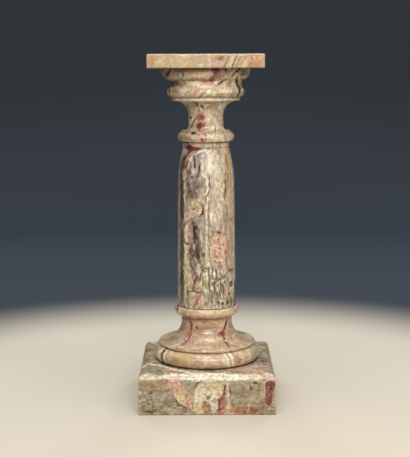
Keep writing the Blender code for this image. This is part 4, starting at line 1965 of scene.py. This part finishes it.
SHAFT_LOWER_LEFT = (
    Blotch(STRAW, (187.4, 274), (6, 30), 0.75),
    Streak(MAUVE, ((193.6, 262), (195.2, 270), (197.6, 279)), 4.4, 0.9),
    Streak(UMBER, ((191, 264), (194, 272), (196, 278)), 1.2, 0.7),
    Blotch(CREAM, (198.8, 267), (2.8, 7), 0.8, -10.0),
    Streak(OLIVE, ((200.6, 262), (203.4, 270), (201.6, 276), (198, 281)), 1.5, 0.9),
    Blotch(STRAW, (206.2, 264), (6, 9), 0.6),
)
SHAFT_LOWER_MIDDLE = (
    Blotch(SAGE, (213.5, 287), (16, 34), 0.7),
    Blotch(OLIVE, (215, 294), (14, 18), 0.25),
    Blotch(CREAM, (206.4, 276), (5, 11)),
    Blotch(IVORY, (211.2, 272.4), (2.2, 5.4), 0.97),
    Blotch(IVORY, (214.5, 274.6), (2.4, 6.4), 0.97),
    Blotch(IVORY, (212.8, 280.6), (2.6, 2.4), 0.95),
    Blotch(IVORY, (212, 288.4), (3, 3.4), 0.97),
    Blotch(CREAM, (205.6, 291), (3, 4.4), 0.85),
    Blotch(CREAM, (207.6, 284), (2.4, 4), 0.7),
    Blotch(CREAM, (219, 288), (2.4, 5), 0.7),
    Streak(UMBER, ((208.6, 266), (209, 273), (209.6, 279), (208.6, 286)), 1.2, 0.85),
    Streak(UMBER, ((212.6, 267), (212.8, 277), (214.6, 279.4)), 1.0, 0.85),
    Streak(UMBER, ((216.6, 269), (217, 277), (215, 284), (210.6, 284)), 1.4, 0.9),
    Streak(UMBER, ((209.6, 286), (210, 293), (208.4, 300)), 1.2),
    Streak(UMBER, ((214.6, 285), (214.4, 292), (212, 297), (213, 304)), 1.3, 0.85),
    Streak(UMBER, ((210, 270.4), (206.6, 268.4), (203, 271)), 1.1),
    Streak(UMBER, ((217.4, 281), (222, 278), (226, 276)), 1.5, 0.85),
    Streak(OLIVE, ((221, 268), (221.6, 276), (220.6, 286), (222, 296)), 1.3),
    Streak(OLIVE, ((217.4, 290), (217, 299), (218.6, 305)), 1.8, 0.85),
    Streak(IVORY, ((216.4, 285), (218.2, 293)), 1.2),
    Blotch(CREAM, (214.8, 301), (2.2, 4.6)),
    Blotch(STRAW, (223.6, 270), (5, 7), 0.6),
)
SHAFT_LOWER_RIGHT = (
    Blotch(LILAC, (230, 276), (6, 9), 0.6),
    Blotch(UMBER, (231.2, 283.4), (3.4, 6), 0.9),
    Blotch(UMBER, (225.2, 282), (2.4, 2.6)),
    Blotch(PINK, (226, 292), (4, 16), 0.7),
    Blotch(ROSE, (225.4, 289), (2, 5), 0.6),
    Streak(PEACH, ((230, 288), (232, 302)), 2.8, 0.6),
    Streak(UMBER, ((229, 288), (229.4, 298)), 1.5),
    Streak(UMBER, ((220.6, 283), (223.8, 287), (223.4, 296)), 1.2, 0.85),
    Streak(UMBER, ((218.8, 286), (219.6, 293), (221.6, 299)), 1.2, 0.85),
    Blotch(SOOT, (219, 302.6), (2, 3.4), 0.85),
    Blotch(IVORY, (221.6, 296), (2, 4), 0.85),
    Blotch(SOOT, (222.4, 303.4), (2.6, 4), 0.92),
    Blotch(SOOT, (227.6, 302.6), (3.2, 4), 0.9),
    Blotch(UMBER, (231.4, 299), (2.4, 6)),
    Blotch(CREAM, (225, 302), (2.2, 4)),
)
SHAFT_FOOT = (
    Blotch(HONEY, (198.8, 287), (7, 11), 0.85, 15.0, 0.4),
    Blotch(CREAM, (200, 284), (3, 5), 0.6, 15.0),
    Streak(WINE, ((196.6, 277), (194.8, 284), (193.2, 291.6)), 1.7, 0.92),
    Streak(OLIVE, ((203.6, 279), (203.6, 286), (201, 292)), 1.3, 0.85),
    Streak(UMBER, ((184.6, 288.4), (188.4, 290.6), (193.6, 292), (203, 292.6)), 1.4, 0.85),
    Streak(UMBER, ((202.6, 268), (200.8, 276), (199.8, 283)), 1.0, 0.75),
    Streak(UMBER, ((195.4, 280), (192.6, 287)), 1.2, 0.85),
    Streak(ROSE, ((199, 278), (196.6, 284), (195.4, 290)), 1.3),
    Streak(PINK, ((194.4, 276), (192, 284)), 1.6),
    Streak(STRAW, ((190.6, 272), (190.2, 286)), 1.6, 0.6),
    Blotch(HONEY, (193.4, 300), (9, 12), 0.65),
    Streak(ROSE, ((199.8, 294.6), (198.4, 300), (195.6, 305)), 2.4, 0.92),
    Streak(WINE, ((199, 297), (197.4, 302)), 1.2, 0.7),
    Blotch(PINK, (201.4, 303), (5, 9), 0.65),
    Blotch(SAGE, (207, 301), (6, 15), 0.85),
    Blotch(OLIVE, (206.4, 304), (3, 5), 0.5),
    Streak(UMBER, ((187.4, 288), (188.4, 296)), 1.6, 0.85),
    Streak(OLIVE, ((187, 297), (189.6, 303)), 1.6, 0.75),
    Blotch(CREAM, (185.8, 292), (1.8, 14)),
)
SHAFT_MARKS: Marks = (
    SHAFT_TINTS + SHAFT_HEAD + SHAFT_EDGES + SHAFT_UPPER_DARK + SHAFT_MIDDLE_VEIN
    + SHAFT_PEACH_PATCH + SHAFT_LOWER_DARK + SHAFT_RIGHT_SPOTS + SHAFT_PINK_PATCH
    + SHAFT_RIGHT_STRIP + SHAFT_LOWER_LEFT + SHAFT_LOWER_MIDDLE + SHAFT_LOWER_RIGHT + SHAFT_FOOT
)

ECHINUS = (
    Blotch(MAUVE, (163.6, 73), (7, 9), 0.6),
    # Partly painted shadow: an olive and ochre band where the slab shades the echinus, over the marble's own
    # olive.
    Blotch(OLIVE, (195, 70), (40, 4.4), 0.6),
    Blotch(OCHRE, (191, 70.6), (13, 3.4), 0.6),
    Blotch(LILAC, (174, 74), (8, 6), 0.6),
    Streak(OXBLOOD, ((170.8, 68.4), (168.6, 73), (166, 77.4)), 2.6, 0.95),
    Blotch(SAGE, (181, 77.4), (9, 8), 0.7),
    Blotch(IVORY, (180.8, 75.6), (2.4, 4), 0.85),
    Streak(UMBER, ((182.6, 69), (183.4, 76)), 2.2, 0.85),
    Streak(CREAM, ((184, 78), (188, 82), (190.6, 86)), 1.6, 0.6),
    Blotch(PEACH, (202, 74.8), (28, 4.4)),
    Blotch(OCHRE, (196, 79.4), (18, 3.6), 0.7),
    # Painted light: the upward-facing lower half of the hollow, in ivory.
    Blotch(IVORY, (195.6, 83.8), (14, 5), 0.6),
    Blotch(OLIVE, (201.8, 70), (2.2, 3.4), 0.6),
    Blotch(ROSE, (218.6, 74), (8, 6), 0.75),
    Blotch(OXBLOOD, (216.2, 70.8), (9.6, 6.4), 0.97, edge=0.35),
    Streak(ROSE, ((218.4, 73), (214.6, 77.4), (208.6, 82)), 6.0, 0.9),
    Streak(WINE, ((217.4, 73), (214, 77), (210.6, 80.6)), 3.0, 0.92),
    Blotch(OXBLOOD, (210.4, 80.8), (4.2, 2.8), 0.95),
    Blotch(ROSE, (205.4, 81.4), (7, 3.6), 0.95),
    Blotch(PINK, (210.6, 84.4), (12, 3.4), 0.9),
    Blotch(IVORY, (216, 82.6), (4, 2.6), 0.7),
    Blotch(OLIVE, (222, 77), (8, 6), 0.5),
    Blotch(SOOT, (226.4, 70), (2.6, 4.4), 0.92),
    Blotch(STRAW, (234, 74.4), (14, 6), 0.9, 60.0),
    Streak(STRAW, ((228, 77.6), (222, 82)), 3.0),
    Streak(OXBLOOD, ((240.6, 68), (236, 72.6), (231, 77.6)), 1.7, 0.92),
    Streak(SOOT, ((227, 78.8), (222.4, 81.8), (217.4, 84.8)), 1.8, 0.92),
    Blotch(SOOT, (219.4, 84.4), (4.4, 2.4), 0.9, 60.0),
    Blotch(CREAM, (224.6, 83), (2.6, 5), 0.75),
    Blotch(TAN, (228.6, 84), (4.2, 5.6), 0.75),
    Blotch(OLIVE, (245, 72), (8, 6), 0.6),
    Blotch(UMBER, (242, 74.6), (5, 1.8), 0.75),
)
CAPITAL_HOLLOW = (
    # Painted dark reflection in the left of the hollow.
    Blotch(UMBER, (174, 83.4), (14, 6)),
    Blotch(OLIVE, (182, 83.6), (10, 6), 0.5),
    Streak(SOOT, ((237.4, 77), (237.2, 82), (238.4, 87)), 2.4, 0.92),
    Streak(IVORY, ((239.6, 78), (239.4, 83)), 1.0, 0.75),
    Streak(TAN, ((231, 80), (230.4, 86)), 1.2, 0.7),
)
CAPITAL_TORUS = (
    # Partly painted light: the cream band is the torus's lit top over its own cream, and the ivory spots are
    # painted highlights.
    Blotch(CREAM, (206, 90), (56, 7), 0.6),
    Blotch(IVORY, (184, 90.6), (8, 5), 0.6),
    Blotch(IVORY, (208, 89.6), (7, 4), 0.6),
    Blotch(IVORY, (230, 90.4), (14, 5), 0.5),
    Streak(PINK, ((216, 85), (226, 86.4)), 2.0, 0.7),
    Blotch(OCHRE, (175.6, 91), (6, 6), 0.7),
    Blotch(PEACH, (198, 92.5), (8, 8), 0.75, 40.0),
    Streak(OCHRE, ((206.6, 90), (202.6, 94), (199.6, 98.4)), 2.0, 0.9),
    Streak(TAN, ((199.6, 89.6), (195.4, 94), (193, 100)), 1.6, 0.85),
    Streak(OCHRE, ((214.6, 89.4), (212, 92)), 1.4, 0.75),
    Streak(OCHRE, ((210.6, 94.6), (206.6, 97)), 1.8, 0.85),
    Streak(OCHRE, ((226, 94), (216, 95.2)), 1.8, 0.7),
    # Painted shade: a darker band along the underside of the torus.
    Blotch(TAN, (186, 96.4), (22, 2.6), 0.7),
    Blotch(OLIVE, (214, 97), (40, 1.8), 0.5),
    Streak(OXBLOOD, ((238, 85), (239.6, 89), (239.6, 92.6), (237.4, 96)), 2.0, 0.97),
    Blotch(LILAC, (234, 91), (4, 6), 0.6),
    Blotch(IVORY, (242.4, 90), (2.2, 5), 0.6),
    Blotch(UMBER, (169.6, 89.6), (2.4, 6)),
)
BELL = (
    # Painted light: a pale band along the lit face of the fillet.
    Blotch(IVORY, (206, 99.4), (60, 2.2), 0.45),
    # Painted shade under the fillet: this tan streak, and the ochre one further down the list.
    Streak(TAN, ((186, 104), (192, 102.6), (198, 102)), 3.0, 0.6),
    Blotch(OLIVE, (191, 106), (10, 6), 0.6),
    Streak(UMBER, ((195.6, 101.4), (198.4, 106)), 2.2, 0.9),
    Blotch(CREAM, (201.8, 104), (4, 4.6), 0.75),
    Blotch(UMBER, (202.8, 106.6), (5.4, 2.6), 0.95, 65.0),
    # Painted shade under the fillet.
    Streak(OCHRE, ((206, 102.4), (214, 103)), 2.2, 0.75),
    Blotch(OLIVE, (222.4, 102.6), (2.6, 3), 0.85),
    Streak(SAGE, ((215, 102), (218, 110), (218, 120)), 4.0, 0.6),
    Streak(TAN, ((193, 104), (190, 110), (189.6, 118)), 1.3, 0.75),
    Blotch(PINK, (195.6, 111), (4.4, 8), 0.75, 15.0),
    Streak(WINE, ((199.4, 109), (198.6, 114), (196.2, 120)), 1.2, 0.9),
    Streak(STRAW, ((196, 118), (192.4, 124), (190, 129)), 2.4),
    Streak(UMBER, ((197.4, 116), (193.4, 122.4), (190.8, 129)), 1.3, 0.9),
    Blotch(UMBER, (191.2, 117.6), (2.6, 2), 0.92),
)
CAPITAL_NECK = (
    Streak(PEACH, ((205.8, 112), (206.6, 121), (206.2, 131)), 3.0, 0.9),
    Blotch(PINK, (201.6, 121), (11, 20), 0.7, edge=0.45),
    Blotch(ROSE, (201.4, 117.4), (8, 7), 0.95, edge=0.4),
    Blotch(WINE, (202.4, 117), (4, 2.4), 0.7),
    Blotch(PINK, (200.6, 121.4), (6, 2.2), 0.9),
    Blotch(WINE, (200.8, 125.6), (9, 7), 0.95, edge=0.35),
    Blotch(ROSE, (203.4, 123.8), (4, 4)),
    Blotch(WINE, (199.4, 129), (4.6, 4.4), 0.92),
    Blotch(PINK, (203, 129.4), (3.6, 4), 0.92),
    Blotch(SAGE, (213, 116), (6, 20), 0.4),
    Streak(IVORY, ((209.4, 110), (210.4, 120), (211, 130)), 2.0, 0.5),
    Blotch(IVORY, (213, 127.6), (3.4, 4.4), 0.85),
    Streak(UMBER, ((215.4, 126.6), (215.6, 132)), 1.3, 0.85),
)
RING = (
    Blotch(SAGE, (188.4, 130.4), (6, 4.4), 0.7),
    Blotch(SOOT, (194.4, 133), (5.6, 2.6), 0.97, edge=0.35),
    Blotch(OCHRE, (187.4, 139.4), (12, 6), 0.6),
    Blotch(OLIVE, (181, 137.6), (4, 6), 0.5),
    Blotch(CREAM, (193, 137), (5, 4), 0.7),
    Blotch(PINK, (200.4, 137), (8, 9), 0.85),
    Streak(ROSE, ((203.6, 132), (206.4, 135), (206.2, 140)), 2.2, 0.85),
    Blotch(WINE, (202.6, 140), (4, 3), 0.92),
    Blotch(ROSE, (198.6, 135.4), (3, 2), 0.6),
    Blotch(CREAM, (218, 137), (18, 7), 0.7),
    Streak(TAN, ((224, 134), (227, 139)), 1.2, 0.6),
)
CAPITAL_MARKS: Marks = ECHINUS + CAPITAL_HOLLOW + CAPITAL_TORUS + BELL + CAPITAL_NECK + RING

SLAB_LEFT = (
    Blotch(STRAW, (184, 61), (30, 16), 0.4),
    Blotch(BEIGE, (198, 62), (22, 16), 0.5),
    Blotch(ORANGE, (151.6, 60.6), (6, 12)),
    Blotch(OCHRE, (152.4, 62.4), (1.8, 2.4), 0.7),
    Blotch(STRAW, (161.6, 61), (6, 6), 0.5),
    Blotch(CREAM, (201, 65.4), (5, 4)),
)
SLAB_VEINS = (
    Streak(PEACH, ((209.6, 54), (209.4, 68)), 3.6, 0.9),
    Streak(CREAM, ((210.6, 54), (210.2, 68)), 1.4, 0.5),
    Blotch(PINK, (219, 63.6), (11, 10), 0.85),
    Blotch(TAN, (215, 61), (3, 5), 0.6),
    Blotch(ROSE, (220.4, 57.8), (10, 4.6), 0.92),
    Streak(WINE, ((225, 55.6), (222, 58.4), (219, 60.4)), 1.8, 0.75),
    Blotch(PEACH, (220.6, 64.6), (7, 4), 0.7),
    Streak(PINK, ((227, 54.6), (223.6, 60)), 2.4),
    Streak(OCHRE, ((230.4, 56), (227, 61), (224, 68)), 2.0, 0.85),
    Streak(STRAW, ((233.4, 57), (229, 67.4)), 5.4, 0.97, 0.4),
    Streak(CREAM, ((232.4, 60), (230, 66)), 2.6, 0.7),
    Streak(OLIVE, ((236.6, 55.6), (234.8, 61), (232.6, 68.4)), 1.7, 0.92),
    Streak(PINK, ((241, 55), (236.8, 68)), 3.8, 0.9, 0.4),
    Streak(ROSE, ((243, 55), (239, 61), (237, 67)), 1.4, 0.85),
    Streak(TAN, ((247.4, 56), (243, 62), (240.4, 68)), 1.6, 0.85),
    Streak(CREAM, ((249, 58), (244.6, 67)), 3.2, 0.9),
)
SLAB_RIGHT = (
    Blotch(ORANGE, (255.8, 61.4), (17, 15), 0.85, edge=0.4),
    Blotch(OCHRE, (250.6, 64), (3, 4), 0.5),
    Blotch(OCHRE, (252.4, 58.6), (4, 3), 0.6),
    Blotch(OCHRE, (257, 64), (5, 3.4), 0.6),
    Blotch(CREAM, (254.6, 57.6), (2.2, 2.4), 0.7),
    Blotch(STRAW, (260.6, 58), (3, 4)),
    Blotch(ORANGE, (261, 63), (3, 6), 0.7),
)
SLAB_MARKS: Marks = SLAB_LEFT + SLAB_VEINS + SLAB_RIGHT


def plinth() -> SquareStone:
    """Sets out the moulded square plinth.

    Returns:
        The stone.
    """
    ground = Ground(
        clasts=(OLIVE, SAGE, BEIGE, SAGE, TAN, CREAM), clouds=(OLIVE, SAGE, BEIGE, CREAM),
        piece=0.026, drawn=(1.4, 1.4, 0.9), vein=UMBER, vein_share=0.55, stain=PINK,
        stain_share=0.35, contrast=0.30, crack_share=0.75, level=0.87,
    )
    finish = MarbleFinish("plinth_marble", ground, roughness=0.30)
    # Painted shade: a dark band at the foot where the plinth meets the floor, and a painted shadow on the
    # top round the base's torus.
    foot = JointDirtAndShade(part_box("plinth")[0][2], 0.0030, 0.6)
    seat = SeatShadow(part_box("base")[1][0] - Base.torus_undercut)
    return SquareStone(
        "plinth", "moulded_plinth", finish, PLINTH_MARKS, (foot, seat), seed=11, hidden_marks=26,
        hidden_tones=(SAGE, PINK, WINE, CREAM, OCHRE, PEACH, OLIVE),
    )


def base() -> Base:
    """Sets out the turned base.

    Returns:
        The stone.
    """
    ground = Ground(
        clasts=(TAN, BEIGE, HONEY, LILAC, CREAM), clouds=(TAN, BEIGE, BEIGE, STRAW, CREAM),
        piece=0.022, drawn=(1.8, 1.8, 0.8), clast_share=0.45, vein=ROSE, vein_share=0.5, stain=PINK,
        stain_share=0.45, contrast=0.20, crack_share=0.45, level=0.88,
    )
    finish = MarbleFinish("base_marble", ground, roughness=0.20)
    low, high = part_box("base")
    # The wide dark band at the foot paints the shade under the torus; the thin one at the top is the dark
    # joint with the shaft.
    joints = (JointDirtAndShade(low[2], 0.0050, 0.95), JointDirtAndShade(high[2], 0.0010, 0.7))
    return Base(
        "base", "turned_base", finish, BASE_MARKS, joints, seed=23, hidden_marks=20,
        hidden_tones=(SAGE, PINK, WINE, CREAM, HONEY), drawn_up=1.2,
    )


def shaft() -> Shaft:
    """Sets out the turned shaft.

    Returns:
        The stone.
    """
    ground = Ground(
        clasts=(MAUVE, LILAC, BEIGE, CREAM, IVORY), clouds=(MAUVE, BEIGE, LILAC, CREAM, IVORY),
        piece=0.015, drawn=(1.0, 1.0, 1.8), lean=(4.0, -6.0, 0.0), clast_share=0.6, vein=UMBER,
        vein_share=0.6, stain=PEACH, stain_share=0.35, contrast=0.34, crack_share=0.9,
        fleck_share=0.4, level=0.94,
    )
    finish = MarbleFinish("shaft_marble", ground, roughness=0.30)
    low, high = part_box("shaft")
    # Dark bands: the joints at foot and head, dirt and painted shade of the gaps; the band at the fillet's
    # foot is painted shade under the fillet's edge.
    fillet_foot = low[2] + Shaft.drum_height + Shaft.shoulder_height
    joints = (JointDirtAndShade(low[2], 0.0016, 0.8), JointDirtAndShade(fillet_foot, 0.0020, 0.5), JointDirtAndShade(high[2], 0.0022, 0.9))
    return Shaft(
        "shaft", "turned_shaft", finish, SHAFT_MARKS, joints, seed=37, hidden_marks=40,
        hidden_tones=(MAUVE, SAGE, CREAM, PINK, UMBER, ROSE, IVORY), drawn_up=2.4,
    )


def capital() -> Capital:
    """Sets out the turned capital.

    Returns:
        The stone.
    """
    ground = Ground(
        clasts=(TAN, BEIGE, HONEY, CREAM, IVORY), clouds=(TAN, BEIGE, CREAM, IVORY), piece=0.018,
        drawn=(1.0, 1.0, 2.0), lean=(0.0, 38.0, 0.0), clast_share=0.45, vein=OCHRE, vein_share=0.5,
        stain=PEACH, stain_share=0.4, contrast=0.24, crack_share=0.6, level=0.96,
    )
    finish = MarbleFinish("capital_marble", ground, roughness=0.22)
    low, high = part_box("capital")
    # Dark bands at both joints: dirt and painted shade of the gap above the shaft, and painted shadow under
    # the slab.
    joints = (JointDirtAndShade(low[2], 0.0016, 0.9), JointDirtAndShade(high[2], 0.0020, 0.9))
    return Capital(
        "capital", "turned_capital", finish, CAPITAL_MARKS, joints, seed=41, hidden_marks=26,
        hidden_tones=(SAGE, PINK, ROSE, CREAM, OLIVE, STRAW),
    )


def slab() -> SquareStone:
    """Sets out the square top slab.

    Returns:
        The stone.
    """
    ground = Ground(
        clasts=(HONEY, ORANGE, HONEY, STRAW), clouds=(HONEY, BEIGE, HONEY, STRAW), piece=0.030,
        lean=(0.0, 25.0, 0.0), clast_share=0.4, vein=OCHRE, vein_share=0.25, stain=PINK,
        stain_share=0.35, contrast=0.13, crack_share=0.3, level=0.80,
    )
    finish = MarbleFinish("slab_marble", ground, roughness=0.26)
    return SquareStone(
        "top_slab", "square_slab", finish, SLAB_MARKS, (), seed=53, hidden_marks=24,
        hidden_tones=(PINK, STRAW, ORANGE, ROSE, CREAM, BEIGE),
        foot_round=0.0026, head_round=0.0026, head_wear=1.0, nick=0.0010,
    )


def main() -> None:
    """Builds the column and the studio, and reports each piece."""
    logging.basicConfig(level=logging.INFO, format="%(message)s")
    tools = Tools(Camera(), PatchGroup())
    tools.camera.build()
    lathe = TurningTree()
    for square in (plinth(), slab()):
        square.build(tools)
    for turned in (base(), shaft(), capital()):
        turned.build(lathe, tools)
    Studio().build()


if __name__ == "__main__":
    main()
